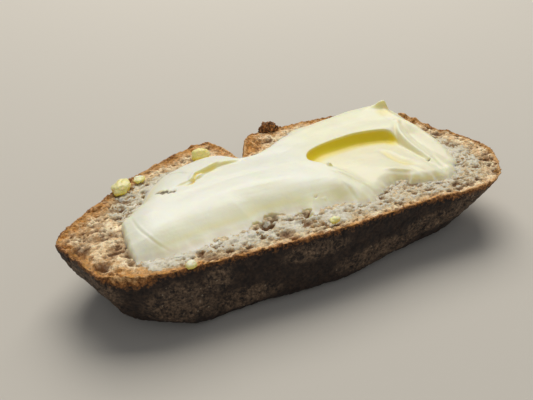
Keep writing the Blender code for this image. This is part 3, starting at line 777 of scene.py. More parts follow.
def butter_material(look):
    """Soft butter: greasy, faintly see-through, cream where thick and lit, with painted shade of deeper
    yellow in its folds, creases and slopes that face the front.
    """
    material, add, place = new_material("soft_butter")
    cloud = add("ShaderNodeTexNoise", {"Vector": place, "Scale": repeats(7.14), "Detail": 2.0})
    fold = add("ShaderNodeAttribute", attribute_name="fold").outputs["Fac"]
    # Painted shade: the attribute mixes in a deeper yellow on folds, creases, the scoop's wall and
    # front-facing slopes, with some of the butter's own yellow
    colour = add("ShaderNodeMix", {0: fold, 6: look.cream, 7: look.deep}, data_type="RGBA")
    # The crumb shows through where the butter is thinner, and lies bare where it is thinnest; the same colour
    # is painted shade on the scoop's floor and the right flank
    thin = add("ShaderNodeAttribute", attribute_name="thin").outputs["Fac"]
    colour = add("ShaderNodeMix", {0: thin, 6: colour, 7: look.film}, data_type="RGBA")
    gone = add("ShaderNodeMapRange", {"Value": thin, "From Min": 0.42, "From Max": 0.8})
    colour = add("ShaderNodeMix", {0: gone, 6: colour, 7: look.bare}, data_type="RGBA")
    light = add("ShaderNodeMapRange", {"Value": cloud, "To Min": 0.96, "To Max": 1.04})
    colour = add("ShaderNodeVectorMath", {0: colour, "Scale": light}, operation="SCALE")
    grease = add("ShaderNodeMapRange", {"Value": cloud, "To Min": 0.3, "To Max": 0.46})
    ripple = add("ShaderNodeTexNoise", {"Vector": place, "Scale": repeats(1.429), "Detail": 2.0})
    soft = add("ShaderNodeBump", {"Height": ripple, "Strength": 0.15, "Distance": 0.0003})
    return shade(material, {
        "Base Color": colour, "Roughness": grease, "Normal": soft, "IOR": BUTTER_IOR,
        "Subsurface Weight": 0.6, "Subsurface Radius": (1.0, 0.8, 0.3), "Subsurface Scale": 0.003,
    })


def smear_material(look):
    """Butter scraped thin over crumb: grey and glassy where thinnest, cream where caught in the pores."""
    material, add, place = new_material("scraped_butter")
    cloud = add("ShaderNodeTexNoise", {"Vector": place, "Scale": repeats(2.5), "Detail": 3.0})
    cover = add("ShaderNodeAttribute", attribute_name="cover").outputs["Fac"]
    thick = add("ShaderNodeMath", {0: cloud, 1: 1.6, 2: -0.6}, operation="MULTIPLY_ADD")
    thick = add("ShaderNodeMath", {0: thick, 1: cover}, operation="ADD", use_clamp=True)
    colour = add("ShaderNodeMix", {0: thick, 6: look.film, 7: look.scraped}, data_type="RGBA")
    grainy = add("ShaderNodeTexNoise", {
        "Vector": place, "Scale": repeats(1.111), "Detail": 4.0, "Roughness": 0.7,
    })
    wet = add("ShaderNodeBump", {"Height": grainy, "Strength": 0.8, "Distance": 0.0007})
    return shade(material, {
        "Base Color": colour, "Normal": wet, "Roughness": 0.42, "IOR": BUTTER_IOR,
        "Subsurface Weight": 0.3, "Subsurface Radius": (1.0, 0.8, 0.4), "Subsurface Scale": 0.001,
    })


def grain_material(name, colour, roughness):
    """Small dry grains: one colour, lighter and darker from grain to grain."""
    material, add, place = new_material(name)
    cloud = add("ShaderNodeTexNoise", {"Vector": place, "Scale": repeats(2.0), "Detail": 2.0})
    light = add("ShaderNodeMapRange", {
        "Value": cloud, "From Min": 0.3, "From Max": 0.7, "To Min": 0.6, "To Max": 1.2,
    })
    colour = add("ShaderNodeVectorMath", {0: colour[:3], "Scale": light}, operation="SCALE")
    return shade(material, {"Base Color": colour, "Roughness": roughness})


# ---- Shapes of the bread ----

def crust_point(x, y, depth):
    """Places of the crust at a depth fraction below the rim points (x, y)."""
    round_in = 1.0 - math.sqrt(max(0.0, 1.0 - depth**1.5))
    foot = max(0.0, depth - FOOT_DEPTH) / (1.0 - FOOT_DEPTH)
    foot = FOOT_RADIUS * (1.0 - math.sqrt(max(0.0, 1.0 - foot**2)))
    front, back = smooth_step(-20.0, -38.0, y), smooth_step(-10.0, 35.0, y)
    in_notch = (x > NOTCH[0]) & (x < NOTCH[1]) & (y > 0.0)
    y = y + np.where(in_notch, np.maximum(0.0, NOTCH_TOP - y) * NOTCH_FADE * depth, 0.0)
    heel_x, heel_width, heel_size = HEEL
    heel = heel_size * np.maximum(0.0, 1.0 - ((x - heel_x) / heel_width)**2)**2
    y = y + front * (foot - FRONT_BULGE * math.sin(math.pi * depth) - heel * depth)
    y = y + front * depth * FRONT_TUCK * (np.maximum(0.0, x) / FRONT_TUCK_AT)**FRONT_TUCK_POWER
    y = y - back * (foot + BACK_ROUND * round_in)
    right = x * (1.0 - RIGHT_SLANT * depth)
    right = right - foot * smooth_step(30.0, 60.0, right)
    x = np.where(x < 0.0, x * (1.0 - LEFT_ROUND * round_in), right)
    return np.stack((x, y, np.full(x.shape, CUT * (1.0 - depth))), -1)


def lump(x, y, place_x, place_y, radius):
    """1 at a lump's middle, 0 outside its radius."""
    return np.maximum(0.0, 1.0 - ((x - place_x)**2 + (y - place_y)**2) / radius**2)**2


def swelling(x, y):
    """Height that the torn lumps of the rim add, in mm."""
    return sum(size * lump(x, y, *place) for *place, size in RIM_LUMPS)


def rim_height(x, y):
    """Height of the crust's upper edge, in mm above the cut."""
    height = 0.3 * relief(x, y, 5.0, 3) + 0.3 * relief(x, y, 1.9, 4) - 0.2
    return height + swelling(x, y)


def hollow_depth(x, y):
    """Depth of the larger hollows in the crumb, in mm."""
    bend_x, bend_y = 0.9 * relief(x, y, 3.0, 5), 0.9 * relief(x, y, 3.0, 6)
    return sum(
        depth * lump(x + bend_x, y + bend_y, place_x, place_y, radius * 1.25)
        for place_x, place_y, radius, depth in HOLLOWS
    )


def cut_height(x, y):
    """Height of the crumb before its pores, in mm above the cut."""
    rough = sum(amount * lump(x, y, *place) for *place, amount in ROUGH_PATCHES)
    height = -0.4 + 0.35 * relief(x, y, 9.0, 1) + 0.16 * relief(x, y, 3.0, 2) + 0.9 * swelling(x, y)
    height += rough * (0.9 * relief(x, y, 2.6, 12) + 0.5 * relief(x, y, 1.3, 13))
    return height - hollow_depth(x, y)


def add_crumb(look):
    """The cut face's crumb, up to the rim."""
    columns, rows = CRUMB_GRID
    plan = coons_patch((FRONT_RIM, RIGHT_RIM, BACK_RIM, LEFT_RIM), crowd(columns, 0.3), crowd(rows, 0.45))
    x, y = plan[..., 0], plan[..., 1]
    from_rim = distance_to(x, y, even_loop(RIM_LOOP, RIM_STEPS)[0])
    shown = smooth_step(0.1, 1.3, from_rim)
    height = CUT + shown * cut_height(x, y) + (1.0 - shown) * (rim_height(x, y) - 0.15)
    piece = sheet_body("crumb", plan, height, CUT - CRUMB_DEPTH, crumb_material(look), CRUMB_TAPER)
    keep_values(piece.data, "opened", shown)
    # The golden edge is wider where the rim counts as nearer: at the left, behind and in its patches
    nearer = 0.65 + 1.2 * smooth_step(-74.0, -45.0, x) * smooth_step(30.0, 10.0, y)
    nearer -= sum(0.45 * lump(x, y, *place) for place in GOLDEN_PATCHES)
    keep_values(piece.data, "from_rim", from_rim * nearer)
    keep_values(piece.data, "hollow", hollow_depth(x, y))
    keep_values(piece.data, "greased", in_smear(x, y))
    butter = np.vstack([spline(side, 40) for side in butter_sides()])
    bare = smooth_step(0.0, 3.0, distance_to(x, y, butter)) * ~inside(x, y, butter)
    keep_values(piece.data, "room", bare * smooth_step(0.5, 2.0, from_rim))
    grow(piece, pore_tree(), {
        "Fine Depth": look.fine_pore, "Medium Depth": look.medium_pore, "Large Depth": look.large_pore,
        "Material": piece.data.materials[0],
    })
    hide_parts("bread_slice")
    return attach(piece, "root")


def add_underside():
    """The cut underside's crumb, a little above the table inside the foot of the crust."""
    inset = UNDERSIDE_INSETS[1]
    sides = []
    for side in (FRONT_RIM, RIGHT_RIM, BACK_RIM, LEFT_RIM):
        foot = crust_point(*spline(side, 60).T, 1.0)[:, :2]
        sides.append(foot * (1.0 - inset / np.hypot(*foot.T))[:, None])
    columns, rows = UNDERSIDE_GRID
    plan = coons_patch(sides, crowd(columns, 0.2), crowd(rows, 0.2))
    x, y = plan[..., 0], plan[..., 1]
    border = np.vstack((plan[0], plan[:, -1], plan[-1, ::-1], plan[::-1, 0]))
    from_rim = distance_to(x, y, border)
    shown = smooth_step(0.0, 1.5, from_rim)
    height = 0.05 + 0.25 * shown * (1.0 + relief(x, y, 7.0, 11))
    # Its pores grow into it from above, as the cut face's do, so it is made upside down and turned over
    piece = sheet_body("crumb_underside", plan, -height, -UNDERSIDE_DEPTH, bpy.data.materials["rye_crumb"])
    keep_values(piece.data, "opened", shown)
    keep_values(piece.data, "from_rim", from_rim)
    grow(piece, bpy.data.node_groups["crumb_pores"], {"Layer": 0.37, "Material": piece.data.materials[0]})
    piece.data.flip_normals()
    move_to(piece, positions(piece) * (1.0, 1.0, -1.0))
    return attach(piece, "root")


def lip_rings(loop, outward, edge):
    """The crust's lip at the cut, from inside out."""
    x, y = loop.T
    # Its hidden first ring stays inside the ends, which slant in below the rim
    slanted = 5.0 * smooth_step(50.0, 90.0, x) + 2.0 * smooth_step(-60.0, -90.0, x)
    uneven = 1.0 + 0.6 * relief(x, y, 1.6, 15) + 0.4 * relief(x, y, 4.0, 16)
    rings = []
    for step, (inset, rise) in enumerate(LIP):
        inset = inset * uneven + (slanted if step == 0 else 0.0)
        height = CUT + edge + rise + 0.25 * relief(x, y, 1.1, 17 + step)
        rings.append(np.column_stack((loop - inset[:, None] * outward, height)))
    return rings


def wall_rings(loop, outward, edge):
    """The crust's slightly uneven wall, from the lip down to the table."""
    x, y = loop.T
    rings = []
    for depth in WALL_DEPTHS:
        ring = crust_point(x, y, depth)
        ring[:, 2] += edge * (1.0 - depth)**4
        bump = np.array([noise.noise(Vector(place) / 9.0) for place in ring])
        proud = 0.2 + 0.5 * bump + 0.25 * relief(x + y, ring[:, 2] * 2.0, 4.0, 7)
        ring[:, :2] += outward * (proud * min(1.0, 40.0 * (1.0 - depth) + 0.2))[:, None]
        rings.append(ring)
    return rings


def foot_rings(foot, outward):
    """The crust's narrow edge under the slice, turned up inside."""
    rings = [np.column_stack((foot - inset * outward, np.zeros(len(foot)))) for inset in UNDERSIDE_INSETS]
    return rings + [rings[-1] + (0.0, 0.0, UNDERSIDE_FOLD)]


def flour_on(places):
    """How thickly flour lies on the crust at places, from 0 to 1."""
    x, y, z = np.moveaxis(places, -1, 0)
    flour = np.zeros(x.shape)
    for patch_x, patch_z, reach_x, reach_z in FLOUR_PATCHES:
        away = ((x - patch_x) / reach_x)**2 + ((z - patch_z) / reach_z)**2
        flour = np.maximum(flour, smooth_step(1.4, 0.3, away) * smooth_step(22.0, -6.0, y))
    return flour


def add_crust(look):
    """The crust: a lip at the cut, the wall down to the table and a narrow edge underneath."""
    loop, outward = even_loop(RIM_LOOP, RIM_POINTS)
    x, y = loop.T
    edge = rim_height(x, y)
    rings = lip_rings(loop, outward, edge) + wall_rings(loop, outward, edge)
    rings = np.array(rings + foot_rings(rings[-1][:, :2], outward))
    piece = band_body("crust", rings, crust_material(look))
    # The relief fades out towards the table, and flakes of flour keep off the table and the rim
    exposed = np.zeros(len(rings))
    exposed[:len(LIP)] = LIP_RELIEF
    exposed[len(LIP):len(LIP) + len(WALL_DEPTHS)] = smooth_step(1.0, 0.93, WALL_DEPTHS)
    height = rings[..., 2]
    golden = sum(depth * lump(x, y, *place) for *place, depth in TORN)
    below = np.maximum(0.0, CUT + edge - height)
    # All of the lip counts as lying above the cut, so that it is golden
    below[:len(LIP)] = np.linspace(-3.0, -0.6, len(LIP))[:, None]
    torn = 1.0 + 1.2 * smooth_step(1.5, -1.0, below - golden)
    flour = flour_on(rings)
    keep_values(piece.data, "exposed", exposed[:, None] * torn)
    keep_values(piece.data, "below_cut", below - golden)
    keep_values(piece.data, "flour", flour)
    keep_values(piece.data, "room", flour * (height < CUT - 1.5) * (height > 1.5))
    grow(piece, crust_tree(), {
        "Blister Height": look.blister, "Grit Height": look.grit, "Crack Depth": look.crack,
        "Material": piece.data.materials[0],
    })
    places = positions(piece)
    places[:, 2] = np.maximum(places[:, 2], 0.0)
    move_to(piece, places)
    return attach(piece, "root")


def ear_shape(part, spot):
    """Place of a unit ball's point on one jagged part of the ear."""
    x, y, rise, across, through, up = part
    place = spot * 1.5 + Vector((x, y, rise))
    grown = 1.0 + 0.5 * noise.noise(place) + 0.22 * noise.noise(place * 2.7)
    grown += 0.1 * noise.noise(place * 7.0)
    return x + spot.x * across * grown, y + spot.y * through * grown, CUT + rise + spot.z * up * grown


def add_ear():
    """The burnt ear of crust that sticks up at the rear rim."""
    shapes = [partial(ear_shape, part) for part in EAR]
    piece, points = ball_body("burnt_ear", 5, shapes, bpy.data.materials["floury_baked_crust"])
    rough = np.array([noise.noise(Vector(point) * 1.1) for point in points])
    keep_values(piece.data, "below_cut", 0.1 + 2.5 * rough)
    keep_values(piece.data, "flour", np.full(len(points), 0.5))
    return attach(piece, "root")


# ---- Shapes of the butter ----

def butter_sides():
    """The butter's outline as six sides that follow each other."""
    return (FRONT_EDGE, RIGHT_EDGE, RIGHT_EDGE_REAR, BACK_EDGE[::-1], LEFT_EDGE_REAR[::-1], LEFT_EDGE[::-1])


def stroke_height(x, y, stroke, streak_depth):
    """Height of one knife stroke at the points (x, y), grooved along its length."""
    away, side, along, crest = nearest(x, y, fine_line(stroke.crest))
    reach = np.where(side > 0.0, stroke.left, stroke.right)
    across = away * np.sign(side)
    streak = relief(along, across * 9.0, 16.0, 8) + 0.7 * relief(along, across * 14.0, 11.0, 9)
    height = crest[..., 0] * (1.0 - np.clip(away / reach, 0.0, 1.0)**stroke.fullness)
    return height + streak_depth * streak * smooth_step(0.0, 1.5, height)


def highest(x, y, strokes, streak_depth, blend):
    """Strokes laid over a thin film, smoothed over the height blend where they meet."""
    height = np.full(x.shape, FILM)
    for stroke in strokes:
        other = stroke_height(x, y, stroke, streak_depth)
        overlap = np.maximum(0.0, 1.0 - np.abs(height - other) / blend)
        height = np.maximum(height, other) + 0.25 * blend * overlap**2
    return height


def butter_plan():
    """Places of the butter's grid in plan, with a ragged outline."""
    u, near_v, rear_v = (crowd(count, 0.3) for count in BUTTER_GRID)
    near = coons_patch((FRONT_EDGE, RIGHT_EDGE, MIDDLE, LEFT_EDGE), u, near_v)
    rear = coons_patch((MIDDLE, RIGHT_EDGE_REAR, BACK_EDGE, LEFT_EDGE_REAR), u, rear_v)
    plan = np.concatenate((near[:-1], rear))
    x, y = plan[..., 0], plan[..., 1]
    outline = np.vstack([spline(side, 60)[:-1] for side in butter_sides()])
    loose = smooth_step(5.0, 0.0, distance_to(x, y, outline))
    ragged = loose * (0.35 + 0.65 * smooth_step(-15.0, -28.0, y) * smooth_step(-62.0, -50.0, x)
                      + 0.15 * smooth_step(60.0, 70.0, x))
    return plan + np.dstack([
        ragged * (1.2 * relief(x, y, 6.0, seed) + 0.8 * relief(x, y, 2.2, seed + 1)) for seed in (21, 23)
    ])


def fin_height(x, y):
    """Height that the thin curled fin adds."""
    away, side, along, rise = nearest(x, y, spline(FIN, 24))
    left, right = FIN_REACH
    fin = rise[..., 0] * np.maximum(0.0, 1.0 - away / np.where(side > 0.0, left, right))**1.3
    return fin * (1.0 + 0.1 * relief(along, away, 2.0, 35))


def scooped(x, y, height, streak_depth):
    """The height with the scoop cut into it, how far inside its rim the points are, and the deep yellow
    painted shade on its wall.
    """
    away, side, along, wall = nearest(x, y, fine_line(SCOOP_EDGE))
    into = -np.sign(side) * away
    outside = np.clip(1.0 - into / (2.4 * wall[..., 0]), 0.0, 1.0)**2.2
    floor = highest(x, y, SCOOP_STROKES, streak_depth, SCOOP_BLEND)
    comes, goes = SCOOP_SHADE
    lip = smooth_step(*comes, along) * smooth_step(*goes, along)
    # Painted shade: a deeper yellow down the wall under the scoop's lip
    yellow = lip * smooth_step(-0.3, 0.5, into) * smooth_step(9.5, 1.8, into)
    return floor + (height - floor) * outside, into, yellow


def crease(x, y, mark):
    """Shape of one crease, with the butter pushed up beside it, and its groove alone, both 1 deep."""
    line = fine_line(mark.line)
    away, side, along, _ = nearest(x, y, line)
    length = np.hypot(*np.diff(line, axis=0).T).sum()
    taper = smooth_step(0.0, 0.3 * length, along) * smooth_step(length, 0.7 * length, along)
    across = away * np.sign(side) / mark.width
    groove = np.exp(-across**2) * taper
    return groove - 0.6 * taper * np.exp(-(0.8 * (across - 1.5))**2), groove


def pitted(x, y, height, thin):
    """The height with its shallow pits, the butter's thinness and painted shade with all of them, and the
    holes' depth.
    """
    holes = np.zeros(x.shape)
    bent_x, bent_y = x + 0.9 * relief(x, y, 1.6, 33), y + 0.9 * relief(x, y, 1.6, 34)
    for pit_x, pit_y, radius, depth in PITS:
        pit = lump(bent_x / 1.7, bent_y, pit_x / 1.7, pit_y, radius * 1.3)
        if depth > HOLE_DEPTH:
            holes = np.maximum(holes, depth * pit)
            shown = 0.6
        else:
            height = height - depth * pit
            shown = min(1.3, 1.6 * depth)
        thin = np.maximum(thin, shown * pit)
    return height, thin, holes


def edge_profile(x, y, plan):
    """Share of the height left by the front and left edges, and by all; and the distance from the left."""
    from_front, from_left = distance_to(x, y, plan[0]), distance_to(x, y, plan[:, 0])
    smooth_front = distance_to(x, y, spline(FRONT_EDGE, 400))
    from_front += smooth_step(1.0, 7.0, from_front) * (smooth_front - from_front)
    from_rest = distance_to(x, y, np.vstack((plan[:, -1], plan[-1, ::-1])))
    slope = np.interp(x, *zip(*FRONT_SLOPE))
    front = (1.0 - (1.0 - np.clip(from_front / slope, 0.0, 1.0))**2)**1.2
    # The left end is blunt in front and runs out thin behind
    blunt = 0.5 * np.sqrt(1.0 - (1.0 - np.clip(from_left / 1.5, 0.0, 1.0))**2)
    blunt += 0.5 * (1.0 - (1.0 - np.clip(from_left / 11.0, 0.0, 1.0))**1.6)
    feathered = 1.0 - (1.0 - np.clip(from_left / 9.0, 0.0, 1.0))**2.2
    front *= blunt + (feathered - blunt) * smooth_step(-12.0, -2.0, y)
    edge = np.clip(from_rest / (3.8 + 1.5 * smooth_step(15, 30, y)), 0.0, 1.0)
    return front, front * np.sqrt(1.0 - (1.0 - edge)**2), from_left


def add_butter(look):
    """The swirl of butter, with the knife's marks in it."""
    plan = butter_plan()
    x, y = plan[..., 0], plan[..., 1]
    height = highest(x, y, STROKES, look.streak, BLEND) + fin_height(x, y)
    height, into, yellow = scooped(x, y, height, look.streak)
    # Painted shade: deeper yellow in the fin's shelter and on the scoop's wall
    fold = np.maximum(0.5 * lump(x, y, *FIN_SHADE), yellow)
    *curl, extra = CURL
    height += extra * lump(x, y, *curl)
    for mark in MARKS:
        shape, groove = crease(x, y, mark)
        height -= mark.depth * look.mark * shape
        # Painted shade: each crease's groove gets a deeper yellow
        fold = np.maximum(fold, min(0.75, 1.2 * mark.depth**2) * groove)
    # Painted shade: the scoop's floor and the right flank are dulled towards the film's colour
    thin = np.maximum(SHADE_IN_SCOOP * smooth_step(2.0, 6.0, into), SHADE_ON_FLANK * smooth_step(61.0, 67.0, x))
    height, thin, holes = pitted(x, y, height, thin)
    height += 0.12 * relief(x, y, 7.0, 31)
    front, profile, from_left = edge_profile(x, y, plan)
    height = EDGE_SINK + (np.maximum(height, 0.4) - EDGE_SINK) * profile - holes
    # Painted shade: yellower on the slopes that face the front, low on them, and at the left end; yellower
    # towards the right, partly the butter's own tone and partly painted shade
    steep = np.gradient(height, axis=0) / np.gradient(y, axis=0)
    low = smooth_step(0.95, 0.3, front) * smooth_step(0.3, 1.8, height)
    shaded = look.shade * (1.0 - 0.6 * smooth_step(-60.0, -68.0, x))
    fold = np.maximum(fold, shaded * np.maximum(smooth_step(0.1, 1.2, steep), 0.8 * low))
    fold = np.maximum(fold, 0.16 * smooth_step(0.0, 25.0, x))
    left_end = smooth_step(-62.0, -70.0, x) * smooth_step(4.0, 0.5, from_left) * smooth_step(6.0, 0.0, y)
    fold = np.maximum(fold, 0.12 * left_end)
    thin = np.maximum(thin, 0.4 * smooth_step(0.8, -0.2, height))
    piece = sheet_body("butter", plan, CUT + height, CUT - BUTTER_DEPTH, butter_material(look))
    keep_values(piece.data, "fold", fold, 0.5)
    keep_values(piece.data, "thin", np.minimum(thin, 1.0))
    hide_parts("butter_spread")
    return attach(piece, "root")


def in_smear(x, y):
    """1 where butter was scraped over the crumb, falling to 0 at the smear's outline."""
    outline = spline(SMEAR_OUTLINE + SMEAR_OUTLINE[:1], 12 * len(SMEAR_OUTLINE))
    return smooth_step(0.0, 4.0, distance_to(x, y, outline)) * inside(x, y, outline)


def border_edges(quads, count):
    """Edges of the quads that no neighbour shares, as pairs of vertices in the quads' own direction."""
    edges = np.stack((quads, np.roll(quads, -1, 1)), -1).reshape(-1, 2)
    return edges[~np.isin(edges @ (count, 1), edges @ (1, count))]


def smear_cover(x, y, z, pore):
    """How well the scraped butter covers the crumb's points, which lie that deep in pores; below 0, bare."""
    butter = np.vstack([spline(side, 40)[:-1] for side in butter_sides()])
    scraped = in_smear(x, y)
    beside = distance_to(x, y, butter)
    under = inside(x, y, butter) & (beside > 1.5)
    close = smooth_step(4.5, 0.5, beside)
    patchy = 0.35 * relief(x, y * 1.7, 3.0, 41) + 0.4 * relief(x, y * 1.4, 1.4, 42)
    patchy += 0.5 * relief(x, y, 0.9, 43)
    wiped = sum(amount * lump(x, y, *place) for *place, amount in SMEAR_PATCHES)
    cover = scraped * (0.34 + 0.5 * close + wiped) + 1.3 * patchy * scraped - 0.42
    cover -= 0.8 * smooth_step(0.2, 0.75, pore) * (1.0 - 0.5 * wiped)
    # None lies deep down, under the spread or against the crust
    cover = np.where(z > CUT - SMEAR_REACH, cover, -1.0)
    by_crust = distance_to(x, y, even_loop(RIM_LOOP, RIM_STEPS)[0]) < 0.7
    return np.where(under, -1.0, cover) * np.where(by_crust, 0.0, 1.0)


def smear_quads(mesh, film, z):
    """The crumb's quads that the film lies on, without patches that touch only at a corner."""
    loops = read_field(mesh.loops, "vertex_index", kind=np.int32)
    starts = read_field(mesh.polygons, "loop_start", kind=np.int32)
    totals = read_field(mesh.polygons, "loop_total", kind=np.int32)
    quads = loops[starts[totals == 4][:, None] + np.arange(4)]
    quads = quads[(z[quads] > CUT - SMEAR_REACH - 0.1).all(1)]
    chosen = (film[quads] > 0.0).any(1)
    for _ in range(3):
        ends = border_edges(quads[chosen], len(film)).ravel()
        pinched = np.bincount(ends, minlength=len(film)) > 2
        chosen |= pinched[quads].any(1)
    return quads[chosen]


def add_smear(look):
    """Butter scraped over the crumb round the spread, lying in its pores and over its walls."""
    crumb = bpy.data.objects["crumb"]
    x, y, z = (positions(crumb) / MM - (*CENTRE, 0.0)).T
    pore = read_field(crumb.data.attributes["pore"].data, "value")
    film = np.clip(smear_cover(x, y, z, pore) * look.smear / MM, -0.35, THICKEST_SMEAR)
    filled = np.where(film > 0.0, 0.15 * pore * smooth_step(0.0, 0.12, film), 0.0)
    quads = smear_quads(crumb.data, film, z)
    used = np.unique(quads)
    number = np.zeros(len(x), int)
    number[used] = np.arange(len(used))
    top = np.column_stack((x, y, z + film + filled))[used]
    bottom = np.column_stack((x, y, z - SMEAR_DEPTH))[used]
    faces = number[quads].tolist() + (number[quads][:, ::-1] + len(used)).tolist()
    a, b = number[border_edges(quads, len(x))].T
    faces += np.stack((b, a, a + len(used), b + len(used)), 1).tolist()
    data = bpy.data.meshes.new("butter_smear")
    data.from_pydata(metres(np.vstack((top, bottom))).tolist(), [], faces)
    data.shade_smooth()
    data.materials.append(smear_material(look))
    keep_values(data, "cover", np.tile(np.clip((film + filled)[used] / THICKEST_SMEAR, 0.0, 1.0), 2))
    piece = link_piece("butter_smear", data)
    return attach(piece, "root")


def dab_shape(dab, spot):
    """Place of a unit ball's point on a dab that lies on the crumb."""
    middle = Vector((*dab.place, 0.0))
    lumps = 1.0 + dab.lumps * noise.noise(spot * 1.2 + middle)
    lumps += 0.09 * noise.noise(spot * 2.6 + middle) + 0.02 * noise.noise(spot * 7.0 + middle)
    x, y = spot.x * dab.radii[0] * lumps, spot.y * dab.radii[1] * lumps
    height = dab.height * (0.35 + 0.65 * spot.z * lumps)
    return (
        dab.place[0] + x * math.cos(dab.turn) - y * math.sin(dab.turn),
        dab.place[1] + x * math.sin(dab.turn) + y * math.cos(dab.turn),
        CUT + max(height, -DAB_DEPTH),
    )


def add_dabs():
    """The loose lumps of butter that fell off the knife."""
    for dab in DABS:
        piece, points = ball_body(dab.node, 6, [partial(dab_shape, dab)], bpy.data.materials["soft_butter"])
        # Painted shade: each dab is yellower low down, over its own yellow
        low = smooth_step(CUT + 2.4, CUT + 0.2, points[:, 2])
        keep_values(piece.data, "fold", dab.yellow + (1.0 - dab.yellow) * 0.8 * low)
        keep_values(piece.data, "thin", np.zeros(len(points)))
        piece.name = dab.node + "_lump"
        if dab.node in SOLID_DABS:
            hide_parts(dab.node)
        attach(piece, "root")


def add_grains(name, source, values, material):
    """Grains scattered over a copy of a piece's surface."""
    piece = link_piece(name, bpy.data.objects[source].data.copy())
    tree = bpy.data.node_groups.get("scattered_grains") or grain_tree()
    grow(piece, tree, {**values, "Material": material})
    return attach(piece, "root")


# ---- Settings, operators and panel ----

def colour_of(name, description, default):
    """A colour that the panel shows, from its sRGB hex value."""
    return bpy.props.FloatVectorProperty(
        name=name, description=description, default=linear(default), size=4, subtype="COLOR",
        min=0.0, max=1.0,
    )


def length_of(name, description, default, most):
    """A length that the panel shows, in metres."""
    return bpy.props.FloatProperty(
        name=name, description=description, default=default, min=0.0, max=most,
        subtype="DISTANCE", unit="LENGTH", precision=5,
    )


class BreadSettings(bpy.types.PropertyGroup):
    """Sizes and colours of the bread."""
    fine_pore: length_of("Fine Pores", "Depth of the crumb's finest pores", 0.0006, 0.002)
    medium_pore: length_of("Medium Pores", "Depth of the crumb's middling pores", 0.001, 0.004)
    large_pore: length_of("Large Pores", "Depth of the crumb's largest pores", 0.0009, 0.006)
    blister: length_of("Blisters", "Height of the crust's blisters", 0.0007, 0.002)
    grit: length_of("Grit", "Height of the crust's fine grit", 0.0004, 0.001)
    crack: length_of("Cracks", "Depth of the crust's short cracks", 0.0005, 0.002)
    crumb: colour_of("Crumb", "Colour of the crumb's walls", "#ffe8c0")
    crumb_dark: colour_of("Dark Crumb", "Colour of the crumb's darker patches", "#d9aa70")
    greased: colour_of("Greased Crumb", "Colour of the crumb where butter soaked into it", "#d4c09a")
    # Painted shade in the pores: their depth darkens the crumb towards this colour
    pore: colour_of("Pores", "Colour at the bottom of the pores", "#734b26")
    golden: colour_of("Golden Edge", "Colour of the crumb next to the crust", "#c98e46")
    torn: colour_of("Torn Crust", "Colour of the crust where the cut tore it", "#a2682f")
    crust: colour_of("Crust", "Colour of the crust", "#1d120b")
    crust_light: colour_of("Light Crust", "Colour of the crust's lighter patches", "#322217")
    flour: colour_of("Flour", "Colour of the flour baked onto the crust", "#846c54")


class ButterSettings(bpy.types.PropertyGroup):
    """Sizes and colours of the butter."""
    streak: bpy.props.FloatProperty(
        name="Streaks", description="Depth in millimetres of the fine grooves that the knife's edge draws",
        default=0.03, min=0.0, max=0.5,
    )
    mark: bpy.props.FloatProperty(
        name="Marks", description="Depth of the knife's creases, as a share of their drawn depth",
        default=1.0, min=0.0, max=2.0, subtype="FACTOR",
    )
    # Strength of the painted shade on the slopes that face the front
    shade: bpy.props.FloatProperty(
        name="Shade", description="How much deeper the colour is on slopes that face the front",
        default=0.5, min=0.0, max=1.0, subtype="FACTOR",
    )
    smear: length_of("Smear", "Thickness of the butter scraped over the crumb", 0.00025, 0.002)
    cream: colour_of("Cream", "Colour of thick, lit butter", "#fdf8e4")
    # Colour of the painted shade in folds, creases and shaded slopes, and of the dabs' own yellow
    deep: colour_of("Folds", "Colour of the butter in its folds", "#ffe12a")
    # Also the colour of the painted shade on the scoop's floor and the right flank
    film: colour_of("Film", "Colour of the thinnest butter over crumb", "#d6c8aa")
    bare: colour_of("Bare", "Colour of the crumb where it shows through the butter", "#77684a")
    scraped: colour_of("Scraped", "Colour of butter caught in the pores", "#f0e8d4")


class GrainSettings(bpy.types.PropertyGroup):
    """How many loose crumbs and flour flakes there are."""
    crumbs: bpy.props.FloatProperty(
        name="Crumbs", description="Loose crumbs on each square metre of bare crumb",
        default=42000.0, min=0.0,
    )
    flakes: bpy.props.FloatProperty(
        name="Flour Flakes", description="Flour flakes on each square metre of floury crust",
        default=60000.0, min=0.0,
    )
    crumb_colour: colour_of("Crumb Grains", "Colour of the loose crumbs", "#c29a66")
    flake_colour: colour_of("Flour Grains", "Colour of the flour flakes", "#8f806b")


class StageSettings(bpy.types.PropertyGroup):
    """Floor and light."""
    floor: colour_of("Floor", "Colour of the floor", "#cfc8bc")
    key: bpy.props.FloatProperty(
        name="Key Light", description="Power of the soft light behind the slice",
        default=18.5, min=0.0, unit="POWER",
    )
    fill: bpy.props.FloatProperty(
        name="Fill Light", description="Power of the weak light in front",
        default=1.4, min=0.0, unit="POWER",
    )


class BREAD_OT_crumb(bpy.types.Operator):
    """Build the porous crumb of both cut faces"""
    bl_idname = "buttered_bread.crumb"
    bl_label = "Add Crumb"

    def execute(self, context):
        add_crumb(context.scene.bread_settings)
        add_underside()
        return {"FINISHED"}


class BREAD_OT_crust(bpy.types.Operator):
    """Build the floury crust round the slice"""
    bl_idname = "buttered_bread.crust"
    bl_label = "Add Crust"

    def execute(self, context):
        add_crust(context.scene.bread_settings)
        add_ear()
        return {"FINISHED"}


class BREAD_OT_butter(bpy.types.Operator):
    """Build the swirl of butter with its knife marks"""
    bl_idname = "buttered_bread.butter"
    bl_label = "Add Butter"

    def execute(self, context):
        add_butter(context.scene.butter_settings)
        return {"FINISHED"}


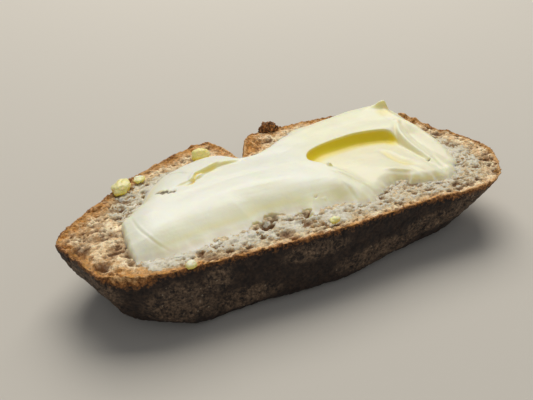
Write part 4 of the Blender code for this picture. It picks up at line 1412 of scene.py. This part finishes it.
class BREAD_OT_smear(bpy.types.Operator):
    """Scrape thin butter over the crumb round the swirl"""
    bl_idname = "buttered_bread.smear"
    bl_label = "Add Smear"

    def execute(self, context):
        add_smear(context.scene.butter_settings)
        return {"FINISHED"}


class BREAD_OT_dabs(bpy.types.Operator):
    """Build the loose dabs of butter"""
    bl_idname = "buttered_bread.dabs"
    bl_label = "Add Dabs"

    def execute(self, context):
        add_dabs()
        return {"FINISHED"}


class BREAD_OT_grains(bpy.types.Operator):
    """Scatter loose crumbs on the crumb and flour flakes on the crust"""
    bl_idname = "buttered_bread.grains"
    bl_label = "Add Grains"

    def execute(self, context):
        look = context.scene.grain_settings
        add_grains("loose_crumbs", "crumb", {"Density": look.crumbs, "Radius": 0.0007, "Seed": 4},
                   grain_material("dry_crumbs", look.crumb_colour, 0.85))
        add_grains("flour_flakes", "crust", {
            "Density": look.flakes, "Radius": 0.00035, "Flatness": 0.35, "Unevenness": 0.0002, "Seed": 9,
        }, grain_material("flour_flakes", look.flake_colour, 0.9))
        return {"FINISHED"}


def facing(direction):
    """The turn that makes a lamp or a camera look along a direction, upright."""
    return direction.to_track_quat("-Z", "Y").to_euler()


class BREAD_OT_stage(bpy.types.Operator):
    """Set out the floor, the lights and the camera"""
    bl_idname = "buttered_bread.stage"
    bl_label = "Add Stage"

    def execute(self, context):
        look = context.scene.stage_settings
        bpy.ops.mesh.primitive_plane_add(size=6.0)
        floor = context.object
        floor.name = "floor"
        paper = new_material("matt_backdrop_paper")[0]
        floor.data.materials.append(shade(paper, {"Base Color": look.floor, "Roughness": 0.9}))
        for name, place, size, power, tint in (
            ("key", (0.3, 0.72, 1.2), 1.1, look.key, "#fffdf8"),
            ("fill", (-0.5, -0.9, 0.5), 1.0, look.fill, "#f4f6ff"),
        ):
            light = bpy.data.lights.new(name, "AREA")
            light.size, light.energy, light.color = size, power, linear(tint)[:3]
            lamp = bpy.data.objects.new(name, light)
            lamp.location = place
            lamp.rotation_euler = facing(Vector(LIGHT_AIM) - Vector(place))
            context.scene.collection.objects.link(lamp)
        world = bpy.data.worlds.new("studio")
        world.use_nodes = True
        sky = world.node_tree.nodes["Background"]
        connect(world.node_tree, sky, {"Color": linear("#dfe4ea"), "Strength": 0.24})
        context.scene.world = world
        lens = bpy.data.cameras.new("camera")
        lens.lens, lens.sensor_width = 42.0, 36.0
        camera = bpy.data.objects.new("camera", lens)
        camera.location = CAMERA_PLACE
        camera.rotation_euler = facing(Vector(CAMERA_DIRECTION))
        context.scene.collection.objects.link(camera)
        context.scene.camera = camera
        context.scene.view_settings.view_transform = "Standard"
        return {"FINISHED"}


OPERATORS = (
    BREAD_OT_crumb, BREAD_OT_crust, BREAD_OT_butter, BREAD_OT_smear, BREAD_OT_dabs, BREAD_OT_grains,
    BREAD_OT_stage,
)
SETTINGS = {
    "bread_settings": BreadSettings, "butter_settings": ButterSettings,
    "grain_settings": GrainSettings, "stage_settings": StageSettings,
}


class BREAD_PT_panel(bpy.types.Panel):
    """Sidebar panel that lists the slice's settings and pieces"""
    bl_label = "Buttered Bread"
    bl_idname = "BREAD_PT_panel"
    bl_space_type = "VIEW_3D"
    bl_region_type = "UI"
    bl_category = "Bread"

    def draw(self, context):
        for name, group in SETTINGS.items():
            box = self.layout.box()
            for setting in group.__annotations__:
                box.prop(getattr(context.scene, name), setting)
        for operator in OPERATORS:
            self.layout.operator(operator.bl_idname)


def register():
    """Registers the settings, the operators and the panel."""
    for group in SETTINGS.values():
        bpy.utils.register_class(group)
    for operator in OPERATORS:
        bpy.utils.register_class(operator)
    bpy.utils.register_class(BREAD_PT_panel)
    for name, group in SETTINGS.items():
        setattr(bpy.types.Scene, name, bpy.props.PointerProperty(type=group))


def unregister():
    """Takes them away again."""
    for name in SETTINGS:
        delattr(bpy.types.Scene, name)
    bpy.utils.unregister_class(BREAD_PT_panel)
    for operator in reversed(OPERATORS):
        bpy.utils.unregister_class(operator)
    for group in reversed(list(SETTINGS.values())):
        bpy.utils.unregister_class(group)


def main():
    """Builds the slice and its stage."""
    register()
    for operator in OPERATORS:
        group, name = operator.bl_idname.split(".")
        getattr(getattr(bpy.ops, group), name)()


if __name__ == "__main__":
    main()
